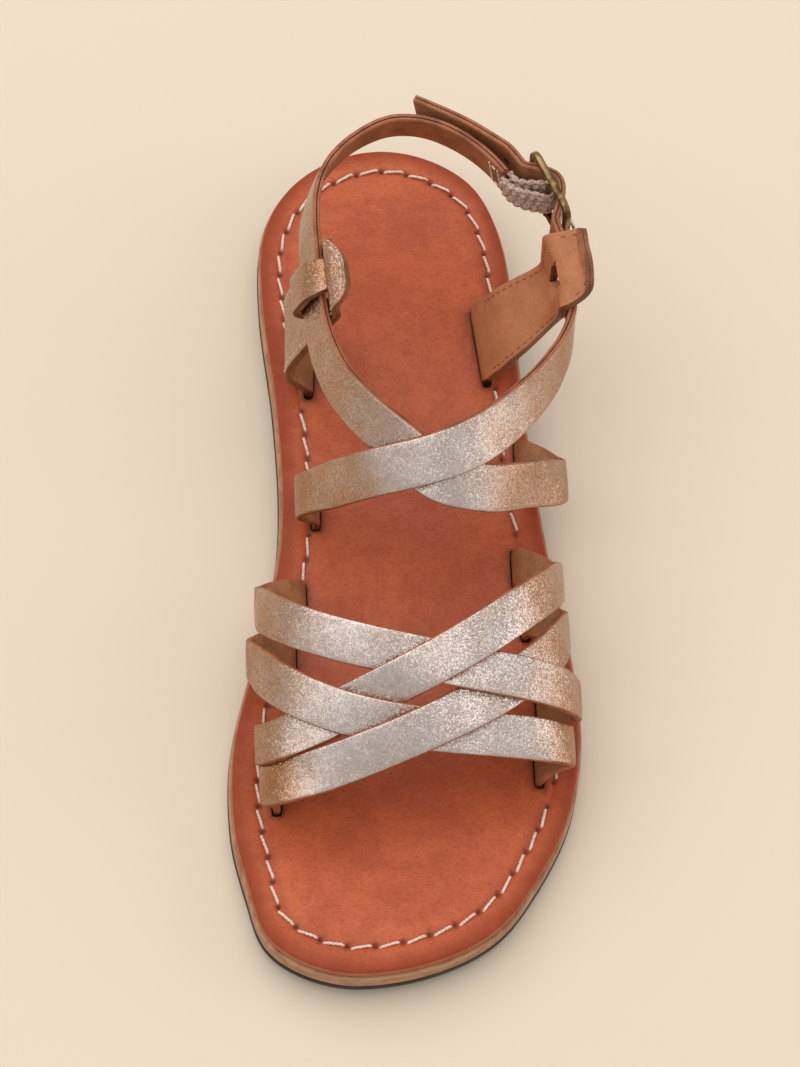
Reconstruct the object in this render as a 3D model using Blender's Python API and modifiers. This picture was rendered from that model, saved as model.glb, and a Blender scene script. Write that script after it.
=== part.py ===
"""A child's left leather sandal: layered sole, woven toe straps and a buckled ankle strap.

The toe points along -Y, the outer (lateral) side of the foot is +X and the floor is z = 0.
Sizes are in millimetres, and MM turns them into metres when a mesh is made.
"""
import math
from typing import NamedTuple

import bmesh
import bpy
import numpy as np
from mathutils import Matrix

MM = 0.001
GAP = 0.3                # room between neighbouring pieces
MERGE = 0.01             # points closer than this are one point
SHARP_ANGLE = 40.0       # degrees, where an edge stays crisp

# Sole
SOLE_LENGTH = 192.6
SOLE_MIDDLE = -2.0       # along Y
TOE_TIP = -11.0          # the toe's end lies on the big toe's side
TOE_TURN = 110.0         # from the heel, where the outline starts to turn to the big toe
OUTSOLE_THICK = 2.2
MIDSOLE_THICK = 3.0
FOOTBED_THICK = 2.6
FOOTBED_INSET = 0.9      # the footbed is trimmed a little inside the layers below it
MIDSOLE_INSET = 0.3
HEEL_INSET = 0.6
HEEL_LIFT = 5.2
HEEL_BREAST = 33.0       # along Y, front face of the heel
BALL_BACK = -26.0        # along Y, where the flat tread ends and the arch starts to rise
TREAD_FRONT = -52.0      # along Y, where the flat tread ends and the toe starts to lift
TOE_SPRING = 4.0
SOLE_ROWS = 44
HEEL_ROWS = 14
SOLE_COLUMNS = 5

# Straps
TOE_STRAP_WIDTH = 8.8
TOE_STRAP_THICK = 1.8
ANKLE_STRAP_WIDTH = 9.8
ANKLE_STRAP_THICK = 2.0
STRAP_STEP = 3.0         # spacing of the sections along a strap
TOE_STRAP_ROWS = 13      # rows of a toe strap's route over the last
LAST_STEP = 0.5          # short step along the foot that gives the last's slope
LAST_TURN = 0.01         # short turn about the foot that gives the last's slope
WEAVE_BITE = 0.3         # how far two straps sink into each other where they are joined
WEAVE_FLAT = 5.5         # half length of the level stretch at a crossing
WEAVE_RAMP = 7.0         # length of the rise to a crossing
SLIT_STEP = 1.6          # height of the strap's straight stretch above the footbed
SLIT_END = 0.9           # how far a strap's end stays above the layer under the footbed
SLIT_MOUTH = 0.2         # depth below the footbed's face where a strap is still straight
SLIT_CUT = 15.6          # height of the box that cuts a slit
FOLD_HEIGHT = 9.0        # height above the footbed where a toe strap is widest

# Ankle tabs
TAB_BASE = 18.6
TAB_WIDTH = 15.2
TAB_THICK = 1.9
TAB_ROUND = 6.5          # length of the rounding at the top
TAB_SLIT_PLACE = 0.42    # share of the half width where the two slits run
TAB_SLIT_WIDE = 0.10
TAB_SLIT_SPARE = 3.8     # how far a slit reaches past the strap's edge
TAB_TOP_SHARE = 0.88     # how far the rounding at the top closes in
TAB_BODY_ROWS = 13       # rows from the footbed up to the slits
TAB_HEAD_ROWS = 5        # rows above the slits
TAB_SLIT_ROWS = (-1, -0.86, -0.72, -0.58, 0, 0.58, 0.72, 0.86, 1)
LATER_PART = 0.3         # share of an ankle strap that lies before its tab

# Buckle
BUCKLE_LENGTH = 17.4
BUCKLE_HEIGHT = 14.8
BUCKLE_BAR = 1.7
BUCKLE_THICK = 1.5
BUCKLE_CORNER = 3.2
BUCKLE_WINDOW_CORNER = 0.5
BUCKLE_CORNER_POINTS = 5
MIDDLE_BAR = 1.0
MIDDLE_BAR_IN = 0.6      # how far the middle bar lies inside the frame's middle plane
PRONG_RADIUS = 0.4
PRONG_OVERHANG = 1.9     # how far the prong's tip passes the front bar
PRONG_TIP_DROP = 0.3
PRONG_LEAD = 2.2         # straight start of the pin after the ring
PRONG_RING = (-205, 95)  # degrees, where the ring round the middle bar starts and ends
PRONG_RING_POINTS = 16
PRONG_NOTCH = (-4.0, 2.6, 4.0)  # front, rear and half depth of the notch in the elastic
PRONG_HOLE = (-6.5, -0.4, 0.2, 2.1)  # front, rear, inside and outside of the hole in the strap
ELASTIC_THICK = 0.6
ELASTIC_WIDTH = 9.0
ELASTIC_SPREAD = 0.45    # half the distance between its two layers at the heel strap's end
ELASTIC_LEAD = 2.0       # straight start of each layer at the heel strap's end
ELASTIC_STEP = 0.9
ELASTIC_NOSE_POINTS = 9
STRAP_SLACK = 0.3        # extra room inside the end bars, where the strap bends
STRAP_EARLY = 0.6        # how far before the rear bar the strap dips deepest
STRAP_OVER_BAR = 2.4     # how far the strap lies out from the frame at the middle bar
STRAP_CREST = 2.45       # and at its highest, behind the middle bar
CREST_PLACE = 1.2        # distance of that crest behind the middle bar
STRAP_LEAD = 5.5         # length of the strap's bend before the front bar and after the rear one
THREADED_STEP = 1.5      # spacing of the sections where the strap goes through the buckle


class SoleSection(NamedTuple):
    """Edges of the sole at one distance from the heel, from the foot's long axis."""
    from_heel: float
    medial: float
    lateral: float


SOLE_SECTIONS = (
    SoleSection(8, 19.3, 19.2),
    SoleSection(20, 26.6, 25.4),
    SoleSection(38, 28.0, 27.9),
    SoleSection(66, 25.6, 29.0),
    SoleSection(97, 25.6, 32.2),
    SoleSection(122, 31.4, 36.0),
    SoleSection(142, 36.3, 36.7),
    SoleSection(158, 36.6, 33.4),
    SoleSection(174, 33.4, 24.8),
    SoleSection(186, 28.2, 13.4),
)


class LastSection(NamedTuple):
    """The arch of the last under the toe straps at one place along the foot."""
    along: float
    medial: float
    lateral: float
    crown: float


LAST_SECTIONS = (
    LastSection(-75, 28.0, 30.0, 21.5),
    LastSection(-58, 30.2, 33.2, 30.5),
    LastSection(-44, 31.2, 35.6, 37.0),
    LastSection(-30, 31.6, 34.6, 43.0),
    LastSection(-16, 28.8, 33.2, 48.5),
)


class ToeStrap(NamedTuple):
    """One toe strap: its slits, its folds along the foot, its bow to the toe and the bow's lean."""
    name: str
    medial_slit: tuple
    medial_along: float
    lateral_slit: tuple
    lateral_along: float
    bow: float
    skew: float


TOE_STRAPS = (
    ToeStrap("back_medial", (-20.5, -15.5), -19.5, (28.2, -41.5), -42.5, 10.0, 0.5),
    ToeStrap("mid_medial", (-23.0, -27.0), -31.0, (27.0, -53.2), -52.3, 12.0, 0.55),
    ToeStrap("mid_lateral", (-25.5, -47.5), -50.5, (24.8, -9.0), -15.5, 10.0, -0.2),
    ToeStrap("front_medial", (-27.0, -58.2), -59.2, (26.0, -20.5), -26.0, 11.6, -0.35),
)
# Over and under at each crossing of the toe straps, as places in the list above
WEAVE = ((2, 0), (1, 2), (3, 1), (0, 3))


class RouteRow(NamedTuple):
    """A point on an ankle strap, and the direction of its width there."""
    x: float
    y: float
    z: float
    side: tuple


BACKWARD = (0, 1, 0)
ENTRY_SLIT = (-17.2, 5.5)       # inner side, where the buckled strap starts
HEEL_STRAP_SLIT = (26.6, 14.5)  # outer side, where the heel strap starts

BUCKLED_ROUTE = (
    RouteRow(-20.8, 3.8, 19.5, (0.05, 1, -0.1)),
    RouteRow(-14.5, 0.2, 33.0, (0, 0.87, 0.5)),
    RouteRow(-5.7, -2.0, 43.0, (-0.1, 0.86, 0.5)),
    RouteRow(3.3, -1.5, 47.0, (-0.2, 0.8, 0.55)),
    RouteRow(12.9, 2.5, 47.0, (-0.35, 0.65, 0.67)),
    RouteRow(22.3, 9.8, 45.0, (-0.45, 0.45, 0.77)),
    RouteRow(28.9, 17.9, 44.0, (-0.45, 0.25, 0.86)),
    RouteRow(33.0, 25.7, 44.3, (-0.36, 0.12, 0.92)),
    RouteRow(34.7, 32.5, 45.6, (-0.2, 0.08, 0.97)),
    RouteRow(34.6, 39.5, 47.2, (-0.06, 0.1, 1)),
    RouteRow(34.7, 46.0, 48.2, (-0.05, 0.05, 1)),
    RouteRow(35.3, 51.8, 48.8, (-0.05, 0, 1)),
    RouteRow(32.4, 58.8, 49.0, (-0.05, 0, 1)),
    RouteRow(29.3, 66.1, 48.5, (-0.05, -0.02, 1)),
    RouteRow(25.0, 69.1, 47.8, (-0.05, -0.05, 1)),
    RouteRow(22.0, 71.9, 47.2, (-0.06, -0.06, 1)),
    RouteRow(17.1, 76.0, 46.6, (-0.05, -0.07, 1)),
    RouteRow(11.6, 79.5, 46.3, (-0.04, -0.08, 1)),
    RouteRow(6.0, 82.6, 46.0, (-0.04, -0.08, 1)),
)
HEEL_STRAP_ROUTE = (
    RouteRow(34.6, 8.0, 19.0, (-0.12, 1, -0.05)),
    RouteRow(26.3, 0.0, 32.5, (0.2, 0.85, 0.5)),
    RouteRow(15.8, -5.2, 41.5, (0.2, 0.85, 0.5)),
    RouteRow(7.0, -4.8, 45.2, (0.3, 0.77, 0.55)),
    RouteRow(-2.4, 3.8, 46.0, (0.4, 0.55, 0.7)),
    RouteRow(-8.3, 10.7, 45.3, (0.45, 0.35, 0.8)),
    RouteRow(-13.2, 18.1, 44.8, (0.4, 0.2, 0.88)),
    RouteRow(-16.0, 25.9, 45.2, (0.35, 0.1, 0.93)),
    RouteRow(-17.2, 32.5, 46.2, (0.32, 0, 0.95)),
    RouteRow(-17.7, 39.5, 47.0, (0.3, 0, 0.95)),
    RouteRow(-18.0, 46.1, 47.4, (0.3, 0, 0.95)),
    RouteRow(-18.0, 53.0, 47.5, (0.28, -0.02, 0.96)),
    RouteRow(-17.0, 60.5, 47.2, (0.2, -0.06, 0.97)),
    RouteRow(-13.6, 68.4, 46.6, (0.17, -0.1, 0.98)),
    RouteRow(-7.0, 75.0, 46.5, (0.1, -0.2, 0.98)),
    RouteRow(0.2, 78.4, 46.4, (0, -0.22, 0.98)),
    RouteRow(7.0, 78.2, 46.2, (-0.03, -0.22, 0.98)),
    RouteRow(13.1, 75.5, 46.2, (-0.1, -0.16, 0.98)),
    RouteRow(18.7, 70.9, 46.4, (-0.13, -0.12, 0.98)),
    RouteRow(21.3, 67.9, 46.5, (-0.13, -0.1, 0.99)),
    RouteRow(22.8, 65.5, 46.8, (-0.12, -0.08, 0.99)),
)
BUCKLE_ALONG = 58.8      # along Y, the buckle's middle bar


class Tab(NamedTuple):
    """An ankle tab: where it holds its strap, its footbed slit, belly, head and rear margin's curl."""
    along: float
    slit: tuple
    slit_turn: tuple
    belly: tuple
    head: tuple
    curl: float


MEDIAL_TAB = Tab(38.2, (-17.4, 39.8), (0.06, 1, 0), (-22.8, 39.8, 23.0), (2.8, -1.0, 2.4), 0.0)
LATERAL_TAB = Tab(39.5, (19.8, 42.2), (-0.1, 1, 0), (25.2, 40.4, 24.0), (0.6, 2.4, 6.6), 2.0)

COLOURS = {
    "outsole": ((0.035, 0.024, 0.018), 0.75, 0.0),
    "heel": ((0.045, 0.032, 0.025), 0.75, 0.0),
    "midsole": ((0.42, 0.24, 0.14), 0.65, 0.0),
    "footbed": ((0.47, 0.105, 0.045), 0.5, 0.0),
    "toe_straps": ((0.55, 0.42, 0.29), 0.42, 0.45),
    "ankle_straps": ((0.55, 0.42, 0.29), 0.42, 0.45),
    "medial_tab": ((0.52, 0.39, 0.26), 0.45, 0.45),
    "lateral_tab": ((0.52, 0.39, 0.26), 0.45, 0.45),
    "buckle_frame": ((0.36, 0.27, 0.13), 0.35, 1.0),
    "buckle_prong": ((0.36, 0.27, 0.13), 0.35, 1.0),
    "elastic": ((0.30, 0.19, 0.15), 0.9, 0.0),
}


def ease(share):
    """Smooth step from 0 to 1."""
    share = np.clip(share, 0.0, 1.0)
    return share * share * (3.0 - 2.0 * share)


def unit(vectors):
    """Vectors scaled to length one."""
    vectors = np.asarray(vectors, float)
    return vectors / np.linalg.norm(vectors, axis=-1, keepdims=True)


def through(knots, rows, at):
    """Smooth curve through rows at their knots: cubic pieces with the neighbours' mean slope."""
    knots = np.asarray(knots, float)
    rows = np.asarray(rows, float)
    at = np.clip(at, knots[0], knots[-1])
    slopes = np.gradient(rows, knots, axis=0)
    piece = np.clip(np.searchsorted(knots, at) - 1, 0, len(knots) - 2)
    span = knots[piece + 1] - knots[piece]
    t = (at - knots[piece]) / span
    if rows.ndim > 1:
        span, t = span[..., None], t[..., None]
    bend = (1 - t) * slopes[piece] * t * (1 - t) * span - t * slopes[piece + 1] * t * (1 - t) * span
    return (1 + 2 * t) * (1 - t) ** 2 * rows[piece] + t * t * (3 - 2 * t) * rows[piece + 1] + bend


def lengths(points):
    """Distance along a row of points."""
    steps = np.linalg.norm(np.diff(points, axis=0), axis=1)
    return np.concatenate(([0.0], np.cumsum(steps)))


# The sole's form


def toe_shift(from_heel):
    """How far the middle of the outline has moved to the big toe's side."""
    return TOE_TIP * ease((from_heel - TOE_TURN) / (SOLE_LENGTH - TOE_TURN))


def sole_edges(turn, inset):
    """Y and the two edges of the sole for turns from 0 at the heel's end to pi at the toe's."""
    from_heel = np.array([row.from_heel for row in SOLE_SECTIONS])
    row_turn = np.arccos(1 - 2 * from_heel / SOLE_LENGTH)
    shift = toe_shift(from_heel)
    medial = (np.array([row.medial for row in SOLE_SECTIONS]) + shift) / np.sin(row_turn)
    lateral = (np.array([row.lateral for row in SOLE_SECTIONS]) - shift) / np.sin(row_turn)
    sides = np.column_stack((medial, lateral))
    knots = np.concatenate(([0.0], row_turn, [math.pi]))
    sides = through(knots, np.vstack((sides[:1], sides, sides[-1:])), turn)
    reach = (SOLE_LENGTH / 2 - inset) * np.cos(turn)
    middle = toe_shift(SOLE_LENGTH / 2 - reach)
    medial, lateral = (np.sin(turn)[:, None] * (sides - inset)).T
    return SOLE_MIDDLE + reach, middle - medial, middle + lateral


def sole_rise(y):
    """Height of the outsole's underside: flat tread, arch up to the heel, spring at the toe."""
    heel = HEEL_LIFT * ease((y - BALL_BACK) / (HEEL_BREAST - BALL_BACK))
    toe = np.clip((TREAD_FRONT - y) / (TREAD_FRONT - SOLE_MIDDLE + SOLE_LENGTH / 2), 0, 1)
    return heel + TOE_SPRING * toe ** 2


MIDSOLE_BASE = OUTSOLE_THICK + GAP
FOOTBED_BASE = MIDSOLE_BASE + MIDSOLE_THICK + GAP
FOOTBED_TOP = FOOTBED_BASE + FOOTBED_THICK


def footbed_top(y):
    """Height of the footbed's upper face."""
    return sole_rise(y) + FOOTBED_TOP


# Making objects


def new_collection(name):
    """A collection linked to the scene."""
    collection = bpy.data.collections.new(name)
    bpy.context.scene.collection.children.link(collection)
    return collection


def paint(part):
    """Give a part its own material."""
    colour, roughness, metallic = COLOURS[part.name]
    material = bpy.data.materials.new(part.name)
    material.use_nodes = True
    shader = material.node_tree.nodes["Principled BSDF"]
    shader.inputs["Base Color"].default_value = (*colour, 1)
    shader.inputs["Roughness"].default_value = roughness
    shader.inputs["Metallic"].default_value = metallic
    part.data.materials.append(material)


def as_cutter(part):
    """Mark an object as a tool that is not part of the sandal."""
    part.hide_render = True
    part.display_type = "WIRE"


def sheet(name, grid, thickness, collection, holes=None):
    """A grid of points as an open surface, thickened evenly to both sides of it."""
    rows, columns = grid.shape[:2]
    index = np.arange(rows * columns).reshape(rows, columns)
    faces = np.stack((index[:-1, :-1], index[:-1, 1:], index[1:, 1:], index[1:, :-1]), axis=-1)
    if holes is not None:
        faces = faces[~holes]
    mesh = bpy.data.meshes.new(name)
    mesh.from_pydata((grid.reshape(-1, 3) * MM).tolist(), [], faces.reshape(-1, 4).tolist())
    work = bmesh.new()
    work.from_mesh(mesh)
    bmesh.ops.remove_doubles(work, verts=work.verts, dist=MERGE * MM)
    work.to_mesh(mesh)
    work.free()
    mesh.shade_smooth()
    mesh.set_sharp_from_angle(angle=math.radians(SHARP_ANGLE))
    part = bpy.data.objects.new(name, mesh)
    collection.objects.link(part)
    wall = part.modifiers.new("Wall", "SOLIDIFY")
    wall.thickness = thickness * MM
    wall.offset = 0.0
    wall.use_even_offset = True
    return part


def join(part, tool, operation):
    """Add or cut away another solid."""
    step = part.modifiers.new(tool.name, "BOOLEAN")
    step.operation = operation
    step.object = tool
    step.solver = "EXACT"
    as_cutter(tool)


# Sole layers


def sole_grid(y, medial, lateral, height):
    """Points from edge to edge of the sole, at one height for each row."""
    share = np.linspace(0, 1, SOLE_COLUMNS)
    x = medial[:, None] * (1 - share) + lateral[:, None] * share
    along = np.broadcast_to(y[:, None], x.shape)
    return np.stack((x, along, np.broadcast_to(height[:, None], x.shape)), -1)


def sole_layer(name, base, thickness, inset, collection):
    """One layer of the sole, bent to the arch and the toe spring."""
    y, medial, lateral = sole_edges(np.linspace(0, math.pi, SOLE_ROWS), inset)
    height = sole_rise(y) + base + thickness / 2
    return sheet(name, sole_grid(y, medial, lateral, height), thickness, collection)


def heel_block(collection):
    """The low heel under the outsole, with a straight breast and a flat tread."""
    reach = math.acos((HEEL_BREAST - SOLE_MIDDLE) / (SOLE_LENGTH / 2 - HEEL_INSET))
    y, medial, lateral = sole_edges(np.linspace(0, reach, HEEL_ROWS), HEEL_INSET)
    thickness = HEEL_LIFT - GAP
    grid = sole_grid(y, medial, lateral, np.full_like(y, thickness / 2))
    return sheet("heel", grid, thickness, collection)


def box_tool(name, size, matrix, collection):
    """A box of a given size about the middle of its own axes."""
    box = bmesh.new()
    bmesh.ops.create_cube(box, size=1.0)
    bmesh.ops.transform(box, matrix=matrix @ Matrix.Diagonal((*(np.array(size) * MM), 1)), verts=box.verts)
    mesh = bpy.data.meshes.new(name)
    box.to_mesh(mesh)
    box.free()
    tool = bpy.data.objects.new(name, mesh)
    collection.objects.link(tool)
    return tool


def cut_slit(footbed, name, place, turn, width, thickness, collection):
    """Cut a slit through the footbed, with clearance for the strap that goes down it."""
    height = float(footbed_top(place[1])) - FOOTBED_THICK / 2
    centre = Matrix.Translation((place[0] * MM, place[1] * MM, height * MM))
    matrix = centre @ Matrix.Rotation(math.atan2(-turn[0], turn[1]), 4, "Z")
    size = (thickness + 2 * GAP, width + 2 * GAP, SLIT_CUT)
    join(footbed, box_tool(f"slit_{name}", size, matrix, collection), "DIFFERENCE")


# Strap routes


class Route:
    """A strap's middle line, with the direction of its width and of its outer face."""

    def __init__(self, points, sides, hand=1, step=STRAP_STEP, knots=None):
        self.hand = hand
        knots = lengths(np.asarray(points, float)) if knots is None else knots
        count = int(round(knots[-1] / step)) + 1
        self.at = np.linspace(0, knots[-1], count)
        self.points = through(knots, points, self.at)
        self.frame(through(knots, unit(sides), self.at))

    def frame(self, sides):
        """Square the width to the route and work out the outer face's direction."""
        self.along = unit(np.gradient(self.points, self.at, axis=0))
        slant = np.sum(sides * self.along, axis=1, keepdims=True)
        self.side = unit(sides - slant * self.along)
        self.face = unit(np.cross(self.along, self.side)) * self.hand

    def lift(self, height):
        """Move the middle line along the outer face's direction."""
        self.points = self.points + self.face * height[:, None]
        self.frame(self.side)

    def grid(self, width, columns=3):
        """Points of the strap's middle surface."""
        across = np.linspace(-0.5, 0.5, columns) * np.broadcast_to(width, self.at.shape)[:, None]
        return self.points[:, None, :] + self.side[:, None, :] * across[:, :, None]

    def place(self, at):
        """Point, direction, width and face directions at a distance along the route."""
        rows = np.concatenate((self.points, self.along, self.side, self.face), axis=1)
        found = through(self.at, rows, np.atleast_1d(at))[0]
        return found[:3], unit(found[3:6]), unit(found[6:9]), unit(found[9:12])

    def at_y(self, y):
        """Distance along the route's later part where it first passes a place along the foot."""
        later = np.nonzero(self.at > LATER_PART * self.at[-1])[0]
        past = later[np.argmax(self.points[later, 1] > y)]
        pair = slice(past - 1, past + 1)
        return float(np.interp(y, self.points[pair, 1], self.at[pair]))


def slit_rows(slit):
    """The straight stretch of a strap down through the footbed, from the bottom up."""
    x, y = slit
    top = float(footbed_top(y))
    return [(x, y, top - FOOTBED_THICK + SLIT_END), (x, y, top - SLIT_MOUTH), (x, y, top + SLIT_STEP)]


def last_point(angle, y):
    """A point on the last: half an ellipse from the inner fold over the crown to the outer fold."""
    along = [row.along for row in LAST_SECTIONS]
    sizes = [(row.medial, row.lateral, row.crown) for row in LAST_SECTIONS]
    medial, lateral, crown = through(along, sizes, y).T
    fold = footbed_top(y) + FOLD_HEIGHT
    x = (lateral - medial) / 2 + (medial + lateral) / 2 * np.cos(angle)
    return np.stack((x, y, fold + (crown - fold) * np.sin(angle)), -1)


def toe_route(strap):
    """A toe strap's route: up out of one slit, over the last and down into the other."""
    angle = np.linspace(math.pi, 0, TOE_STRAP_ROWS)
    share = (1 + np.cos(angle)) / 2
    y = strap.medial_along * (1 - share) + strap.lateral_along * share
    y = y - strap.bow * np.sin(angle) * (1 - strap.skew * np.cos(angle))
    points = last_point(angle, y)
    forward = last_point(angle, y + LAST_STEP) - points
    sideways = last_point(angle - LAST_TURN, y) - points
    face = unit(np.cross(sideways, forward))
    sides = unit(np.cross(face, np.gradient(points, axis=0)))
    rows = slit_rows(strap.medial_slit) + points.tolist() + slit_rows(strap.lateral_slit)[::-1]
    return Route(rows, [BACKWARD] * 3 + sides.tolist() + [BACKWARD] * 3)


def crossing(first, second):
    """Distances along two routes where they cross, seen from above."""
    gaps = first.points[:, None, :2] - second.points[None, :, :2]
    distance = np.linalg.norm(gaps, axis=2)
    low = np.minimum(first.points[:, None, 2], second.points[None, :, 2])
    distance = np.where(low > FOOTBED_TOP + HEEL_LIFT + FOLD_HEIGHT, distance, np.inf)
    row, column = np.unravel_index(np.argmin(distance), distance.shape)
    return first.at[row], second.at[column]


def hump(at, centre):
    """One at a crossing, falling smoothly to nothing on both sides of it."""
    return 1 - ease((np.abs(at - centre) - WEAVE_FLAT) / WEAVE_RAMP)


def weave(routes, order, thickness):
    """Raise one strap and lower the other where they cross, so that they just join."""
    heights = [np.zeros_like(route.at) for route in routes]
    rise = (thickness - WEAVE_BITE) / 2
    for over, under in order:
        at_over, at_under = crossing(routes[over], routes[under])
        heights[over] += rise * hump(routes[over].at, at_over)
        heights[under] -= rise * hump(routes[under].at, at_under)
    for route, height in zip(routes, heights):
        route.lift(height)


def ankle_route(slit, rows, hand):
    """An ankle strap's route: up out of its slit and through its rows."""
    points = slit_rows(slit) + [row[:3] for row in rows]
    return Route(points, [BACKWARD] * 3 + [row.side for row in rows], hand)


def thread_buckle(route, middle):
    """Take the strap inside the two end bars and out over the middle bar of the buckle."""
    bar = (BUCKLE_LENGTH - BUCKLE_BAR) / 2
    inside = -(BUCKLE_THICK / 2 + GAP + ANKLE_STRAP_THICK / 2)
    knots = np.array((-bar - STRAP_LEAD, -bar, 0.0, CREST_PLACE, bar - STRAP_EARLY, bar + STRAP_LEAD))
    dip = inside - STRAP_SLACK
    heights = np.array((0.0, dip, STRAP_OVER_BAR, STRAP_CREST, dip, 0.0))
    route.lift(through(knots, heights, route.at - middle))


def refined(route, step):
    """The same route with sections closer together."""
    return Route(route.points, route.side, route.hand, step, route.at)


# Uppers


def toe_straps(parts, tools):
    """Four straps woven over the toes, joined where they cross."""
    routes = [toe_route(strap) for strap in TOE_STRAPS]
    weave(routes, WEAVE, TOE_STRAP_THICK)
    solids = []
    for strap, route in zip(TOE_STRAPS, routes):
        home = tools if solids else parts
        name = f"strap_{strap.name}" if solids else "toe_straps"
        solids.append(sheet(name, route.grid(TOE_STRAP_WIDTH), TOE_STRAP_THICK, home))
    for other in solids[1:]:
        join(solids[0], other, "UNION")
    return solids[0]


def tab_grid(tab, strap, middle):
    """Points of a tab's middle surface and the faces left open for its two slits.

    Its front and rear margins lie inside the strap and the bridge between the slits outside it.
    """
    centre, along, up, out = strap.place(middle)
    half_strap = ANKLE_STRAP_WIDTH / 2
    slit_half = half_strap + TAB_SLIT_SPARE
    points = slit_rows(tab.slit) + [tab.belly]
    points += [centre + up * step for step in (-slit_half, -half_strap, 0, half_strap, slit_half)]
    points.append(points[-1] + np.array(tab.head))
    knots = lengths(np.array(points))
    held = knots[-4]
    at = np.unique(np.concatenate((
        np.linspace(0, held - slit_half, TAB_BODY_ROWS),
        held + np.array(TAB_SLIT_ROWS) * slit_half,
        np.linspace(held + slit_half, knots[-1], TAB_HEAD_ROWS))))
    spine = through(knots, points, at)
    blend = ease((at - knots[2]) / (held - slit_half - knots[2]))[:, None, None]
    width = TAB_BASE + (TAB_WIDTH - TAB_BASE) * blend[:, 0, 0]
    rounding = TAB_TOP_SHARE * np.clip((at - knots[-1]) / TAB_ROUND + 1, 0, 1)
    width = width * np.sqrt(1 - rounding ** 2)
    place = TAB_SLIT_PLACE
    near = place - TAB_SLIT_WIDE / 2
    far = place + TAB_SLIT_WIDE / 2
    u = np.array((-1, -(1 + far) / 2, -far, -near, -near / 2, 0, near / 2, near, far, (1 + far) / 2, 1))
    across = u[None, :] * width[:, None] / 2
    straight = unit(tab.slit_turn) * across[:, :, None]
    backward = np.sign(np.dot(along, tab.slit_turn))
    frames = np.array([[strap.place(middle + step * backward) for step in row] for row in across])
    rise = np.clip(at - held, -slit_half, slit_half)[:, None, None]
    bent = frames[:, :, 0] - centre + (frames[:, :, 2] - up) * rise
    grid = spine[:, None, :] + straight * (1 - blend) + bent * blend
    reach = np.abs(at - held)
    swell = 1 - ease((reach - half_strap - GAP) / (TAB_SLIT_SPARE - GAP))
    clear = (ANKLE_STRAP_THICK + TAB_THICK) / 2 + GAP
    margin = -clear - np.where(u > place, tab.curl, 0)
    swell = swell[:, None] * np.where(np.abs(u) < place, clear, margin)
    grid = grid + frames[:, :, 3] * swell[:, :, None]
    in_slit = np.abs((at[:-1] + at[1:]) / 2 - held) < slit_half
    slit_column = np.abs(np.abs((u[:-1] + u[1:]) / 2) - place) < TAB_SLIT_WIDE / 4
    return grid, in_slit[:, None] & slit_column[None, :]


# Buckle and elastic


def local_matrix(route, middle):
    """Axes at the buckle: X along the strap, Y up across it, Z out from the foot."""
    centre, along, up, out = route.place(middle)
    matrix = Matrix.Identity(4)
    for column, axis in enumerate((along, up, out)):
        matrix.col[column][:3] = axis
    matrix.translation = centre * MM
    return matrix


def rounded_box(left, right, low, high, corner):
    """Points of a rectangle with round corners."""
    turns = np.linspace(0, math.pi / 2, BUCKLE_CORNER_POINTS)
    points = []
    for index, (x, y) in enumerate(((right, high), (left, high), (left, low), (right, low))):
        angle = turns + index * math.pi / 2
        inward = np.array((-1 if x == right else 1, -1 if y == high else 1)) * corner
        points.append(np.column_stack((x + inward[0] + corner * np.cos(angle),
                                       y + inward[1] + corner * np.sin(angle))))
    return np.vstack(points)


def buckle_frame(matrix, parts, tools):
    """A flat frame with round corners, and a bar across its middle."""
    half_length = BUCKLE_LENGTH / 2
    half_height = BUCKLE_HEIGHT / 2
    inner = half_length - BUCKLE_BAR
    tall = half_height - BUCKLE_BAR
    outside = rounded_box(-half_length, half_length, -half_height, half_height, BUCKLE_CORNER)
    window = rounded_box(-inner, inner, -tall, tall, BUCKLE_WINDOW_CORNER)
    ring = np.stack((np.vstack((outside, outside[:1])), np.vstack((window, window[:1]))), axis=1)
    grid = np.concatenate((ring, np.zeros_like(ring[:, :, :1])), axis=2)
    frame = sheet("buckle_frame", grid, BUCKLE_THICK, parts)
    frame.matrix_world = matrix
    middle = matrix @ Matrix.Translation((0, 0, -MIDDLE_BAR_IN * MM))
    bar = box_tool("middle_bar", (MIDDLE_BAR, 2 * tall + BUCKLE_BAR, MIDDLE_BAR), middle, tools)
    join(frame, bar, "UNION")


def wire(name, points, radius, matrix, collection):
    """A round wire through points, with closed ends."""
    curve = bpy.data.curves.new(name, "CURVE")
    curve.dimensions = "3D"
    curve.bevel_depth = radius * MM
    curve.bevel_resolution = 2
    curve.use_fill_caps = True
    spline = curve.splines.new("POLY")
    spline.points.add(len(points) - 1)
    rows = np.column_stack((np.asarray(points) * MM, np.ones(len(points))))
    spline.points.foreach_set("co", rows.ravel())
    part = bpy.data.objects.new(name, curve)
    part.matrix_world = matrix
    collection.objects.link(part)
    return part


def ring_radius(half_thickness):
    """Radius of a ring that clears the corners of the middle bar."""
    return math.hypot(MIDDLE_BAR, MIDDLE_BAR) / 2 + GAP + half_thickness


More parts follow.
